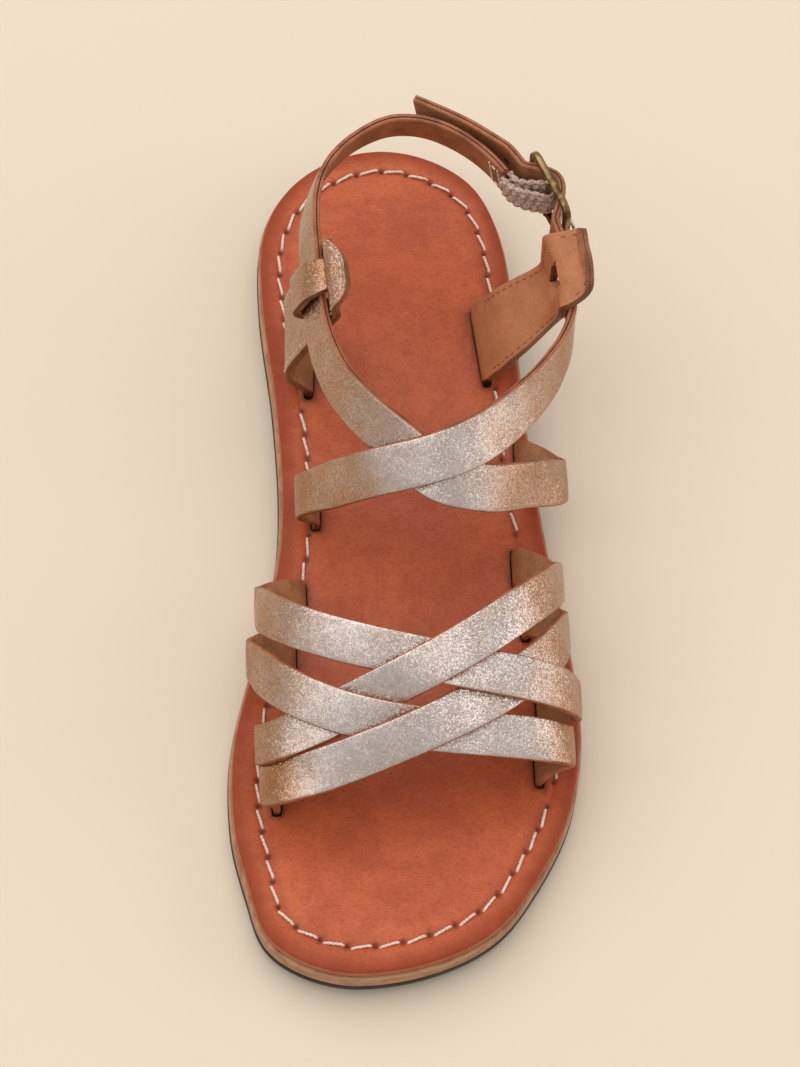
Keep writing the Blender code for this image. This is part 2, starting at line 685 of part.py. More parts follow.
def prong_points():
    """The prong: a ring round the middle bar, then a pin out to the front bar and past it."""
    ring = ring_radius(PRONG_RADIUS)
    angle = np.radians(np.linspace(*PRONG_RING, PRONG_RING_POINTS))
    height = ring * np.sin(angle) - MIDDLE_BAR_IN
    loop = np.column_stack((ring * np.cos(angle), np.zeros_like(angle), height))
    front = -(BUCKLE_LENGTH - BUCKLE_BAR) / 2
    rest = BUCKLE_THICK / 2 + GAP + PRONG_RADIUS
    start = ring - MIDDLE_BAR_IN
    pin = [(-PRONG_LEAD, 0, start), (front / 2, 0, (start + rest) / 2), (front, 0, rest)]
    pin.append((front - PRONG_OVERHANG, 0, rest - PRONG_TIP_DROP))
    return loop.tolist() + pin


def cut_for_prong(part, name, front, rear, inside, outside, matrix, collection):
    """Cut room for the prong, between two distances along the strap and two out from the foot."""
    centre = Matrix.Translation(((front + rear) / 2 * MM, 0, (inside + outside) / 2 * MM))
    size = (rear - front, 2 * (PRONG_RADIUS + GAP), outside - inside)
    join(part, box_tool(name, size, matrix @ centre, collection), "DIFFERENCE")


def elastic_loop(heel_strap, buckled, middle, collection):
    """A band from the heel strap's end round the buckle's middle bar and back."""
    bar, _, up, out = buckled.place(middle)
    bar = bar - out * MIDDLE_BAR_IN
    end = heel_strap.points[-1] + heel_strap.along[-1] * GAP
    up_end = heel_strap.side[-1]
    out_end = heel_strap.face[-1]
    ring = ring_radius(ELASTIC_THICK / 2)
    toward = unit(bar - end)
    away = unit(np.cross(toward, up))
    angle = np.linspace(-math.pi / 2, math.pi / 2, ELASTIC_NOSE_POINTS)
    nose = bar + ring * (np.cos(angle)[:, None] * toward + np.sin(angle)[:, None] * away)
    sign = 1 if np.dot(away, out_end) > 0 else -1
    first = end - out_end * ELASTIC_SPREAD * sign
    last = end + out_end * ELASTIC_SPREAD * sign
    lead = heel_strap.along[-1] * ELASTIC_LEAD
    points = [first, first + lead, *nose, last + lead, last]
    sides = [up_end, up_end] + [up] * len(nose) + [up_end, up_end]
    route = Route(points, sides, step=ELASTIC_STEP)
    return sheet("elastic", route.grid(ELASTIC_WIDTH), ELASTIC_THICK, collection)


def shift_to_origin(parts):
    """The move that puts the bottom centre of the parts' box on the origin."""
    bpy.context.view_layer.update()
    graph = bpy.context.evaluated_depsgraph_get()
    corners = []
    for part in parts:
        solid = part.evaluated_get(graph)
        mesh = solid.to_mesh()
        points = np.empty(len(mesh.vertices) * 3)
        mesh.vertices.foreach_get("co", points)
        world = np.array(solid.matrix_world)
        corners.append(points.reshape(-1, 3) @ world[:3, :3].T + world[:3, 3])
        solid.to_mesh_clear()
    corners = np.vstack(corners)
    low, high = corners.min(0), corners.max(0)
    return -(low[0] + high[0]) / 2, -(low[1] + high[1]) / 2, -low[2]


def main():
    """Build the sandal."""
    for old in list(bpy.data.objects):
        bpy.data.objects.remove(old)
    parts = new_collection("leather_sandal")
    tools = new_collection("cutters")

    sole_layer("outsole", 0, OUTSOLE_THICK, 0, parts)
    heel_block(parts)
    sole_layer("midsole", MIDSOLE_BASE, MIDSOLE_THICK, MIDSOLE_INSET, parts)
    footbed = sole_layer("footbed", FOOTBED_BASE, FOOTBED_THICK, FOOTBED_INSET, parts)

    toe_straps(parts, tools)
    for strap in TOE_STRAPS:
        for side, slit in (("medial", strap.medial_slit), ("lateral", strap.lateral_slit)):
            cut_slit(footbed, f"{strap.name}_{side}", slit, BACKWARD, TOE_STRAP_WIDTH, TOE_STRAP_THICK, tools)

    buckled = ankle_route(ENTRY_SLIT, BUCKLED_ROUTE, 1)
    heel_strap = ankle_route(HEEL_STRAP_SLIT, HEEL_STRAP_ROUTE, -1)
    weave((buckled, heel_strap), ((0, 1),), ANKLE_STRAP_THICK)
    for name, slit in (("buckled", ENTRY_SLIT), ("heel_strap", HEEL_STRAP_SLIT)):
        cut_slit(footbed, name, slit, BACKWARD, ANKLE_STRAP_WIDTH, ANKLE_STRAP_THICK, tools)
    for name, tab, strap in (("medial_tab", MEDIAL_TAB, heel_strap), ("lateral_tab", LATERAL_TAB, buckled)):
        grid, holes = tab_grid(tab, strap, strap.at_y(tab.along))
        sheet(name, grid, TAB_THICK, parts, holes)
        cut_slit(footbed, name, tab.slit, tab.slit_turn, TAB_BASE, TAB_THICK, tools)

    middle = buckled.at_y(BUCKLE_ALONG)
    matrix = local_matrix(buckled, middle)
    buckle_frame(matrix, parts, tools)
    wire("buckle_prong", prong_points(), PRONG_RADIUS, matrix, parts)
    elastic = elastic_loop(heel_strap, buckled, middle, parts)
    front, rear, deep = PRONG_NOTCH
    cut_for_prong(elastic, "prong_notch", front, rear, -deep, deep, matrix, tools)

    threaded = refined(buckled, THREADED_STEP)
    thread_buckle(threaded, middle)
    ankle = sheet("ankle_straps", threaded.grid(ANKLE_STRAP_WIDTH), ANKLE_STRAP_THICK, parts)
    heel_solid = sheet("strap_heel", heel_strap.grid(ANKLE_STRAP_WIDTH), ANKLE_STRAP_THICK, tools)
    join(ankle, heel_solid, "UNION")
    cut_for_prong(ankle, "prong_hole", *PRONG_HOLE, matrix, tools)

    for part in parts.objects:
        paint(part)
    root = bpy.data.objects.new("sandal_origin", None)
    parts.objects.link(root)
    root.location = shift_to_origin([part for part in parts.objects if part is not root])
    for part in [*parts.objects, *tools.objects]:
        if part is not root:
            part.parent = root


main()
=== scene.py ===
"""Looks of a child's left leather sandal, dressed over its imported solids.

Shapes are worked out in millimetres in the maker's frame: the toe points along -Y, the outer side
of the foot is +X and the floor is z = 0. Bench.metres() carries them into the solids' frame.
"""
import logging
import math
from dataclasses import dataclass, field
from enum import Enum
from typing import Any

import bmesh
import bpy
import numpy as np
from mathutils import Matrix, Vector


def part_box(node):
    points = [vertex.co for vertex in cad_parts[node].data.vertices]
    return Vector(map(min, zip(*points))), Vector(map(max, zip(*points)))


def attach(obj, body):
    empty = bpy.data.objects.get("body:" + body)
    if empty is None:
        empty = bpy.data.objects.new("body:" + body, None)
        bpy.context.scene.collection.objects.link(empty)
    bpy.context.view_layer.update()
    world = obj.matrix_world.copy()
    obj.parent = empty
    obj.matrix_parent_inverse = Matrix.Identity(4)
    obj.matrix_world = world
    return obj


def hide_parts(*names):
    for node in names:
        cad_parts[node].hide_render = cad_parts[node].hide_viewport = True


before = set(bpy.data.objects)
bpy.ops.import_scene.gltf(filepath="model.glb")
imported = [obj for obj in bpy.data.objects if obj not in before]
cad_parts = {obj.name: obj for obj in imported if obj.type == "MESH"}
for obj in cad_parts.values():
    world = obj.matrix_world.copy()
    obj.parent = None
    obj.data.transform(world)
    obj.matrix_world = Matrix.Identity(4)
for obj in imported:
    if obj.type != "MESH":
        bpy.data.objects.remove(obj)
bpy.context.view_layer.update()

Array = np.ndarray
Pair = tuple[float, float]
Triple = tuple[float, float, float]
Material = bpy.types.Material
Mesh = bpy.types.Mesh
Piece = bpy.types.Object
LOG = logging.getLogger("sandal")
MM = 0.001
WELD = 2e-6              # metres, points closer than this are one point
SHARP_ANGLE = 38.0       # degrees, where an edge stays crisp
BODY = "root"


class Zone(Enum):
    """Faces of a strap or tab, in the order of their finishes."""
    FOIL = 0
    EDGE = 1
    LINING = 2
    SEAM = 3


# Curves


def ease(share: Any) -> Array:
    """Smooth step from 0 to 1: share squared times (3 - 2 share)."""
    share = np.clip(share, 0.0, 1.0)
    return share * share * (3.0 - 2.0 * share)


def unit(vectors: Any) -> Array:
    """Vectors scaled to length one."""
    vectors = np.asarray(vectors, float)
    return vectors / np.linalg.norm(vectors, axis=-1, keepdims=True)


def bell(distance: Array, width: float) -> Array:
    """Bell of height one: e to the minus (distance / width) squared."""
    return np.exp(-(distance / width) ** 2)


def through(knots: Any, rows: Any, at: Any) -> Array:
    """Smooth curve through rows at their knots: cubic pieces with the neighbours' mean slope.

    Args:
        knots: Rising places of the rows.
        rows: A value or vector for each knot.
        at: Places to read, of any shape.

    Returns:
        The curve's values at those places.
    """
    knots = np.asarray(knots, float)
    rows = np.asarray(rows, float)
    at = np.clip(at, knots[0], knots[-1])
    slopes = np.gradient(rows, knots, axis=0)
    piece = np.clip(np.searchsorted(knots, at) - 1, 0, len(knots) - 2)
    span = knots[piece + 1] - knots[piece]
    t = (at - knots[piece]) / span
    if rows.ndim > 1:
        span, t = span[..., None], t[..., None]
    bend = t * (1 - t) * span * ((1 - t) * slopes[piece] - t * slopes[piece + 1])
    return (1 + 2 * t) * (1 - t) ** 2 * rows[piece] + t * t * (3 - 2 * t) * rows[piece + 1] + bend


def lengths(points: Array) -> Array:
    """Distance along a row of points."""
    steps = np.linalg.norm(np.diff(points, axis=0), axis=1)
    return np.concatenate(([0.0], np.cumsum(steps)))


def quads(rows: int, columns: int, ring: bool = True) -> Array:
    """Corner numbers of the faces of a grid.

    Args:
        rows: Number of rows.
        columns: Number of points in a row.
        ring: True where the last column joins the first.

    Returns:
        One row of four corner numbers for each face, row by row.
    """
    index = np.arange(rows * columns).reshape(rows, columns)
    if ring:
        index = np.concatenate((index, index[:, :1]), axis=1)
    corners = (index[:-1, :-1], index[:-1, 1:], index[1:, 1:], index[1:, :-1])
    return np.stack(corners, axis=-1).reshape(-1, 4)


def capped(grid: Array, shrink: tuple[float, ...] = (0.0, 0.55)) -> Array:
    """A tube's grid with both ends closed by rings that shrink to the end's middle.

    Args:
        grid: Rows of a ring each.
        shrink: Sizes of the closing rings as shares of the end ring, from nothing outward.

    Returns:
        The grid with the closing rings before its first row and after its last.
    """
    scale = np.array(shrink)[:, None, None]
    first, last = grid[0].mean(axis=0), grid[-1].mean(axis=0)
    front = first + (grid[0] - first) * scale
    rear = last + (grid[-1] - last) * scale[::-1]
    return np.concatenate((front, grid, rear))


def filled(x: Array, y: Array, z: Array, middle: Array, fill: int) -> Array:
    """Rings of a layer, with its top and bottom filled by rings whose width goes to nothing.

    Args:
        x: X of each ring's points, one row for each ring.
        y: Their y.
        z: Their heights.
        middle: X of the layer's middle beside each point.
        fill: Rings that fill the top, and the bottom.

    Returns:
        The grid of points.
    """
    share = np.linspace(0, 1, fill, endpoint=False)[:, None]

    def flat(end: int, scale: Array) -> Array:
        """One end's ring at several widths."""
        wide = middle[end] + (x[end] - middle[end]) * scale
        return np.stack(np.broadcast_arrays(wide, y[end], z[end]), -1)

    return np.concatenate((flat(0, share), np.stack((x, y, z), -1), flat(-1, share[::-1])))


def turns(count: int) -> Array:
    """Angles spread evenly over a full turn."""
    return np.arange(count) * 2 * math.pi / count


def oval(sides: int, power: float) -> Array:
    """Outline within -1 to 1: the sign times a power of cosine and sine, squarer for less than 1."""
    wave = np.stack((np.cos(turns(sides)), np.sin(turns(sides))), -1)
    return np.sign(wave) * np.abs(wave) ** power


# Shader maths


def rgb(*screen: float) -> Triple:
    """A colour given in screen values of 0 to 255, as light values."""
    share = np.array(screen) / 255
    return tuple(np.where(share <= 0.04045, share / 12.92, ((share + 0.055) / 1.055) ** 2.4).tolist())


class Field:
    """A value that varies over a surface, held as a node socket with arithmetic."""

    def __init__(self, desk: "Desk", socket: bpy.types.NodeSocket) -> None:
        """Wrap a socket of a desk's tree."""
        self.desk = desk
        self.socket = socket

    def _sum(self, operation: str, first: Any, second: Any) -> "Field":
        """A Math node on two values."""
        return self.desk.node("ShaderNodeMath", {"operation": operation}, {0: first, 1: second})

    def __add__(self, other: Any) -> "Field":
        """self + other."""
        return self._sum("ADD", self, other)

    __radd__ = __add__

    def __sub__(self, other: Any) -> "Field":
        """self - other."""
        return self._sum("SUBTRACT", self, other)

    def __rsub__(self, other: Any) -> "Field":
        """other - self."""
        return self._sum("SUBTRACT", other, self)

    def __mul__(self, other: Any) -> "Field":
        """self * other."""
        return self._sum("MULTIPLY", self, other)

    __rmul__ = __mul__

    def between(self, low: float, high: float) -> "Field":
        """Smooth step from 0 at low to 1 at high."""
        return self.desk.node("ShaderNodeMapRange", {"interpolation_type": "SMOOTHSTEP"},
                              {"Value": self, "From Min": low, "From Max": high})

    def wave(self, length: float, phase: Any = 0.0) -> "Field":
        """Sine of self, a coordinate, with a wave length in millimetres and a phase."""
        angle = self * (math.tau / (length * MM)) + phase
        return self.desk.node("ShaderNodeMath", {"operation": "SINE"}, {0: angle})


class Desk:
    """The node tree of one material."""

    def __init__(self, name: str) -> None:
        """Start a material with one shader and the Object coordinates.

        Args:
            name: The material's name.
        """
        self.material = bpy.data.materials.new(name)
        self.material.use_nodes = True
        self.tree = self.material.node_tree
        self.tree.nodes.clear()
        self.shader = self.tree.nodes.new("ShaderNodeBsdfPrincipled")
        output = self.tree.nodes.new("ShaderNodeOutputMaterial")
        self.tree.links.new(self.shader.outputs["BSDF"], output.inputs["Surface"])
        self.place = self.node("ShaderNodeTexCoord", {}, {}, "Object")

    def put(self, socket: bpy.types.NodeSocket, value: Any) -> None:
        """Link a field to a socket, set a number, vector or colour on it, or leave it for None.

        Args:
            socket: The input to set.
            value: A field, or a constant that suits the input.
        """
        if isinstance(value, Field):
            self.tree.links.new(value.socket, socket)
        elif socket.type == "RGBA":
            socket.default_value = (*value, 1)
        elif value is not None:
            socket.default_value = value

    def node(self, kind: str, settings: dict[str, Any], sockets: dict[Any, Any],
             output: int | str = 0) -> Field:
        """Any node of the tree.

        Args:
            kind: The node's type.
            settings: Its properties, set first.
            sockets: Values or fields for its inputs.
            output: The output to hand back.

        Returns:
            That output as a field.
        """
        made = self.tree.nodes.new(kind)
        for name, value in settings.items():
            setattr(made, name, value)
        for name, value in sockets.items():
            self.put(made.inputs[name], value)
        return Field(self, made.outputs[output])

    def vector(self, operation: str, *inputs: Any) -> Field:
        """A Vector Math node on fields or constants."""
        return self.node("ShaderNodeVectorMath", {"operation": operation}, dict(enumerate(inputs)))

    def stretched(self, stretch: Triple, where: Field | None = None) -> Field:
        """Coordinates scaled differently along each axis."""
        return self.vector("MULTIPLY", where or self.place, stretch)

    def noise(self, size: float, detail: float = 2.0, where: Field | None = None) -> Field:
        """Cloudy noise of about 0 to 1 with blots of a size in millimetres."""
        return self.node("ShaderNodeTexNoise", {}, {
            "Vector": where or self.place, "Scale": 1 / (size * MM), "Detail": detail})

    def cells(self, size: float, output: str = "Distance") -> Field:
        """Distance to the middles of cells of a size in millimetres, or each one's random Color."""
        sockets = {"Vector": self.place, "Scale": 1 / (size * MM)}
        return self.node("ShaderNodeTexVoronoi", {}, sockets, output)

    def tipped(self, normal: Field, chance: Field, tilt: float) -> Field:
        """A normal tipped by a random colour less grey, times a tilt."""
        aside = self.vector("SUBTRACT", chance, (0.5, 0.5, 0.5))
        return self.vector("NORMALIZE", self.vector("MULTIPLY_ADD", aside, (tilt, tilt, tilt), normal))

    def axis(self, name: str) -> Field:
        """One of the Object coordinates, in metres."""
        return self.node("ShaderNodeSeparateXYZ", {}, {"Vector": self.place}, name)

    def attribute(self, name: str) -> Field:
        """A number stored on the piece's points."""
        return self.node("ShaderNodeAttribute", {"attribute_name": name}, {}, "Fac")

    def run(self) -> Field:
        """The piece's own map: along it and across it, in metres."""
        return self.node("ShaderNodeUVMap", {"uv_map": "run"}, {})

    def mix(self, share: Any, first: Any, second: Any) -> Field:
        """Blend of two colours: first at share 0, second at share 1."""
        return self.node("ShaderNodeMix", {"data_type": "RGBA"}, {0: share, 6: first, 7: second}, 2)

    def bump(self, height: Field, depth: float, under: Field | None = None) -> Field:
        """Normal raised by a height of 0 to 1 times a depth in millimetres, over another or none."""
        return self.node("ShaderNodeBump", {}, {
            "Height": height, "Distance": depth * MM, "Strength": 1.0, "Normal": under})

    def finish(self, **sockets: Any) -> Material:
        """Set the shader's sockets, named with underscores for spaces, and hand over the material.

        Args:
            sockets: A field or a constant for each socket.

        Returns:
            The material.
        """
        for name, value in sockets.items():
            self.put(self.shader.inputs[name.replace("_", " ")], value)
        return self.material


# Finishes


@dataclass(frozen=True)
class Finish:
    """A finish that makes one material, shared by the pieces that wear it."""
    name: str

    def material(self) -> Material:
        """The finish's material, made the first time it is asked for."""
        return bpy.data.materials.get(self.name) or self.mixed()

    def mixed(self) -> Material:
        """Lay out the nodes of the finish."""
        raise NotImplementedError


@dataclass(frozen=True)
class FoilLeather(Finish):
    """Leather under a thin silver champagne foil, finely flecked, browned as painted side shade where
    it bends up from a slit or turns to the side.
    """
    light: Triple = rgb(224, 212, 207)
    warm: Triple = rgb(211, 194, 184)
    fleck: Triple = rgb(138, 120, 110)
    # Painted side shade: the brown that folds and sideways faces take, and its flecks
    side_shade: Triple = rgb(182, 131, 91)
    side_shade_fleck: Triple = rgb(104, 65, 40)
    flake: float = 0.23
    tilt: float = 0.44

    def mixed(self) -> Material:
        """Light and warm clouds, painted side shade on folds and sideways faces, random flecks, and
        flakes tipped at random.

        Returns:
            The material.
        """
        desk = Desk(self.name)
        cloud = desk.noise(7.0, 3.0)
        speck = desk.noise(self.flake * 0.6, 2.0)
        chance = desk.cells(self.flake, "Color")
        lines = desk.noise(0.4, 2.0, desk.stretched((1.0, 0.1, 1.0), desk.run()))
        # fold is the share of painted side shade, broken up by the clouds
        fold = desk.attribute("fold") * (0.6 + cloud * 0.6)
        colour = desk.mix(cloud.between(0.3, 0.72), self.light, self.warm)
        colour = desk.mix(fold, colour, self.side_shade)
        flecks = (chance * 0.5 + speck * 0.5).between(0.34, 0.74)
        colour = desk.mix(flecks * 0.66, colour, desk.mix(fold, self.fleck, self.side_shade_fleck))
        waves = desk.bump(desk.noise(6.0, 2.0), 0.3)
        normal = desk.bump(speck * 0.7 + lines * 0.3, 0.03, waves)
        return desk.finish(Base_Color=colour, Metallic=0.92, Roughness=0.26 + flecks * 0.16,
                           Normal=desk.tipped(normal, chance, self.tilt))


@dataclass(frozen=True)
class TwoTone(Finish):
    """Leather, edges, yarn or old brass: two tones by soft blots and a fine grain that stands up."""
    light: Triple
    dark: Triple
    blot: float = 4.0
    grain: float = 0.4
    detail: Pair = (3.0, 3.0)
    stretch: Triple = (1.0, 1.0, 1.0)
    blotted: float = 0.55
    span: Pair = (0.35, 0.68)
    roughness: float = 0.46
    rough_blot: float = 0.0
    rough_grain: float = 0.24
    depth: float = 0.05
    metallic: float = 0.0

    def mixed(self) -> Material:
        """Blots and grain, by their shares and within a span, blend the tones and change the roughness.

        Returns:
            The material.
        """
        desk = Desk(self.name)
        blot = desk.noise(self.blot, self.detail[0])
        grain = desk.noise(self.grain, self.detail[1], desk.stretched(self.stretch))
        share = (blot * self.blotted + grain * (1 - self.blotted)).between(*self.span)
        rough = self.roughness + blot * self.rough_blot + grain * self.rough_grain
        return desk.finish(Base_Color=desk.mix(share, self.light, self.dark), Metallic=self.metallic,
                           Roughness=rough, Normal=desk.bump(grain, self.depth))


@dataclass(frozen=True)
class FootbedLeather(Finish):
    """Smooth tanned leather with a cross grain, a burnished rim, and painted shade at the slits and
    stitch holes.
    """
    light: Triple = rgb(198, 96, 55)
    deep: Triple = rgb(174, 78, 43)
    lines: Triple = rgb(138, 52, 23)
    rim: Triple = rgb(147, 55, 18)
    # Painted shade in the slit mouths and stitch holes, and a soft darkening round each slit
    pressed: Triple = rgb(62, 24, 14)
    wall: Triple = rgb(176, 126, 90)

    def mixed(self) -> Material:
        """Clouds and cross grain, then the rim, the cut wall and the painted shade of the slits and
        stitch holes over them.

        Returns:
            The material.
        """
        desk = Desk(self.name)
        cloud = desk.noise(16.0, 4.0)
        blot = desk.noise(3.2, 3.0)
        grain = desk.noise(0.46, 3.0, desk.stretched((0.6, 1.0, 1.0)))
        pores = desk.noise(0.3, 2.0)
        tone = cloud * 0.5 + blot * 0.25 + grain * 0.25
        colour = desk.mix(tone.between(0.36, 0.64), self.light, self.deep)
        colour = desk.mix((grain * 0.6 + pores * 0.4).between(0.48, 0.68) * 0.38, colour, self.lines)
        rim, wall = desk.attribute("rim"), desk.attribute("wall")
        colour = desk.mix(rim * (0.7 + blot * 0.5), colour, self.rim)
        colour = desk.mix(wall, colour, desk.mix(blot, self.wall, self.deep))
        # Painted shade at the slit mouths and in the stitch holes
        colour = desk.mix(desk.attribute("pressed"), colour, self.pressed)
        normal = desk.bump(grain * 0.7 + pores * 0.3, 0.11)
        return desk.finish(Base_Color=colour, Normal=normal, Specular_IOR_Level=0.36,
                           Roughness=0.34 + blot * 0.2 + wall * 0.2 + rim * 0.16)


@dataclass(frozen=True)
class SoleRubber(Finish):
    """Matt dark rubber with a fine moulded stipple, and wavy ribs below with painted shade in their
    grooves.
    """
    light: Triple = rgb(66, 52, 44)
    dark: Triple = rgb(40, 31, 27)
    # Painted shade in the tread's grooves
    groove: Triple = rgb(22, 17, 15)
    rib: float = 2.8
    bend: float = 8.0

    def mixed(self) -> Material:
        """Dull clouds and a fine stipple; where the piece is marked as tread, grooves between ribs,
        darkened as painted shade.

        Returns:
            The material.
        """
        desk = Desk(self.name)
        blot = desk.noise(5.0, 4.0)
        ribs = desk.axis("Y").wave(self.rib, desk.axis("X").wave(self.bend) * 1.3)
        groove = desk.attribute("tread") * (1.0 - ribs.between(-0.7, 0.1))
        colour = desk.mix(blot.between(0.35, 0.65), self.dark, self.light)
        stipple = desk.bump(desk.cells(0.55), 0.06)
        # The grooves are only a bump; their dark colour is painted shade
        return desk.finish(Base_Color=desk.mix(groove * 0.8, colour, self.groove),
                           Roughness=0.62 + blot * 0.25, Normal=desk.bump(1.0 - groove, 0.6, stipple))


FOIL = FoilLeather("champagne_foil")
TAB_EDGE = TwoTone("tab_edge", rgb(150, 90, 50), rgb(92, 54, 28))
CUT_EDGE = TwoTone("cut_edge", rgb(176, 106, 68), rgb(128, 70, 42))
LINING = TwoTone("brown_lining", rgb(168, 108, 66), rgb(128, 78, 44), grain=0.45, roughness=0.5)
TAB_LINING = TwoTone("tan_lining", rgb(192, 124, 82), rgb(174, 108, 70), grain=0.6, roughness=0.5)
SEAM = TwoTone("dark_seam", rgb(96, 60, 40), rgb(52, 32, 22), grain=0.8, roughness=0.68)
SOLE_EDGE = TwoTone("trimmed_edge", rgb(186, 140, 104), rgb(148, 102, 72), blot=2.6, grain=0.35,
                    detail=(3.0, 2.0), stretch=(0.04, 0.04, 1.0), blotted=0.4, span=(0.36, 0.66),
                    roughness=0.5, rough_blot=0.2, rough_grain=0.0)
STRAP_FINISHES = (FOIL, CUT_EDGE, LINING, SEAM)
WAXED = dict(blotted=0.0, span=(0.42, 0.72), roughness=0.6, rough_grain=0.2, depth=0.04)
THREAD = TwoTone("cream_thread", rgb(234, 214, 200), rgb(190, 156, 136), **WAXED)
BROWN_THREAD = TwoTone("brown_thread", rgb(150, 98, 64), rgb(104, 62, 38), **WAXED)
WEBBING = TwoTone("grey_webbing", rgb(208, 180, 166), rgb(148, 118, 106), grain=0.45, blotted=0.0,
                  roughness=0.85, rough_grain=0.0, depth=0.08)
OLD_METAL = dict(blot=2.2, grain=0.3, detail=(4.0, 2.0), stretch=(1.0, 0.2, 1.0), blotted=1.0,
                  span=(0.4, 0.66), roughness=0.24, rough_blot=0.22, rough_grain=0.0, depth=0.015,
                  metallic=1.0)
BRASS = TwoTone("antique_brass", rgb(156, 132, 92), rgb(92, 72, 48), **OLD_METAL)
# A paler copy of the brass for the prong: painted highlight that stands in for its glints
PAINTED_GLINT_BRASS = TwoTone("rubbed_brass", rgb(206, 196, 176), rgb(134, 112, 80), **OLD_METAL)


# Making pieces


@dataclass(frozen=True)
class Bench:
    """Turns shapes into pieces and sets them in the solids' frame."""
    shift: Triple

    def metres(self, points: Array) -> Array:
        """Millimetres in the maker's frame as metres in the solids' frame."""
        return (points + np.array(self.shift)) * MM

    def millimetres(self, mesh: Mesh) -> Array:
        """A mesh's points back in the maker's frame.

        Args:
            mesh: The mesh.

        Returns:
            Points in millimetres.
        """
        points = np.empty(len(mesh.vertices) * 3)
        mesh.vertices.foreach_get("co", points)
        return points.reshape(-1, 3) / MM - np.array(self.shift)

    def mesh(self, name: str, points: Array, faces: Array, zones: Array | None = None,
             run: Array | None = None, closed: bool = True) -> Piece:
        """A mesh object from arrays.

        Args:
            name: The piece's name.
            points: Points in millimetres.
            faces: Four corner numbers for each face.
            zones: The number of each face's finish.
            run: The map of each face corner: along and across, in metres.
            closed: True for a closed body, whose faces are turned outward.

        Returns:
            The object, linked to the scene.
        """
        mesh = bpy.data.meshes.new(name)
        mesh.vertices.add(len(points))
        mesh.vertices.foreach_set("co", self.metres(points).ravel())
        mesh.loops.add(faces.size)
        mesh.loops.foreach_set("vertex_index", faces.ravel())
        mesh.polygons.add(len(faces))
        mesh.polygons.foreach_set("loop_start", np.arange(len(faces)) * 4)
        if zones is not None:
            mesh.polygons.foreach_set("material_index", zones)
        mesh.update(calc_edges=True)
        if run is not None:
            mesh.uv_layers.new(name="run").data.foreach_set("uv", run.ravel())
        work = bmesh.new()
        work.from_mesh(mesh)
        bmesh.ops.remove_doubles(work, verts=work.verts, dist=WELD)
        if closed:
            bmesh.ops.recalc_face_normals(work, faces=work.faces)
        work.to_mesh(mesh)
        work.free()
        self.smooth(mesh)
        piece = bpy.data.objects.new(name, mesh)
        bpy.context.scene.collection.objects.link(piece)
        return piece

    def tube(self, name: str, grid: Array) -> Piece:
        """A closed piece from rings of points in millimetres."""
        return self.mesh(name, grid.reshape(-1, 3), quads(*grid.shape[:2]))

    def store(self, mesh: Mesh, name: str, values: Array) -> None:
        """Store a number on each point of a mesh, for its finish to read."""
        mesh.attributes.new(name, "FLOAT", "POINT").data.foreach_set("value", values)

    def smooth(self, mesh: Mesh) -> None:
        """Shade smooth, with crisp edges where faces meet at more than the sharp angle."""
        mesh.shade_smooth()
        mesh.set_sharp_from_angle(angle=math.radians(SHARP_ANGLE))

    def fit(self, piece: Piece, node: str, *finishes: Finish,
            stands_in: bool = True) -> None:
        """Give a piece its finishes and its place on the object.

        Args:
            piece: The finished object.
            node: The solid that it dresses.
            finishes: Its finishes, in the order of their numbers.
            stands_in: True where it stands for the solid, false for something added to it.
        """
        for finish in finishes:
            piece.data.materials.append(finish.material())
        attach(piece, BODY)
        if stands_in:
            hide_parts(node)
        LOG.info("%s: %d faces on %s", piece.name, len(piece.data.polygons), node)

    def cut(self, piece: Piece, points: Array, faces: Array, zone: Zone = Zone.FOIL) -> None:
        """Cut closed shapes out of a piece and keep the result as its mesh.

        Args:
            piece: The object to cut.
            points: Points of the cutting shapes in millimetres.
            faces: Their faces.
            zone: The finish of the new walls.
        """
        tool = self.mesh("cutter", points, faces, np.full(len(faces), zone.value))
        step = piece.modifiers.new("Cut", "BOOLEAN")
        step.operation = "DIFFERENCE"
        step.solver = "EXACT"
        step.object = tool
        graph = bpy.context.evaluated_depsgraph_get()
        old = piece.data
        name = old.name
        piece.data = bpy.data.meshes.new_from_object(piece.evaluated_get(graph))
        piece.modifiers.clear()
        bpy.data.objects.remove(tool)
        bpy.data.meshes.remove(old)
        piece.data.name = name
        self.smooth(piece.data)


def prisms(centres: Array, rights: Array, ups: Array, sizes: Array, power: float,
           sides: int = 16) -> tuple[Array, Array]:
    """Upright prisms with rounded ends, to cut slits and holes.

    The outline is an oval of the half sizes. Rings shrink to the middle at both ends.

    Args:
        centres: Middle of each prism.
        rights: Direction of its first size.
        ups: Direction of its height.
        sizes: Half size along the right, half size across it and half height.
        power: 1 for an oval outline, less for a squarer one.
        sides: Points of the outline.

    Returns:
        Points and faces of all prisms.
    """
    height = np.array((-1, -1, 1, 1))[None, :, None, None]
    reach = np.array((0, 1, 1, 0))[None, :, None, None]
    across = np.cross(ups, rights)
    flat = oval(sides, power)[None, None] * reach * sizes[:, None, None, :2]
    points = centres[:, None, None] + flat[..., :1] * rights[:, None, None]
    points = points + flat[..., 1:] * across[:, None, None]
    points = points + height * sizes[:, None, None, 2:] * ups[:, None, None]
    ring = quads(4, sides)
    faces = ring[None] + (np.arange(len(centres)) * 4 * sides)[:, None, None]
    return points.reshape(-1, 3), faces.reshape(-1, 4)


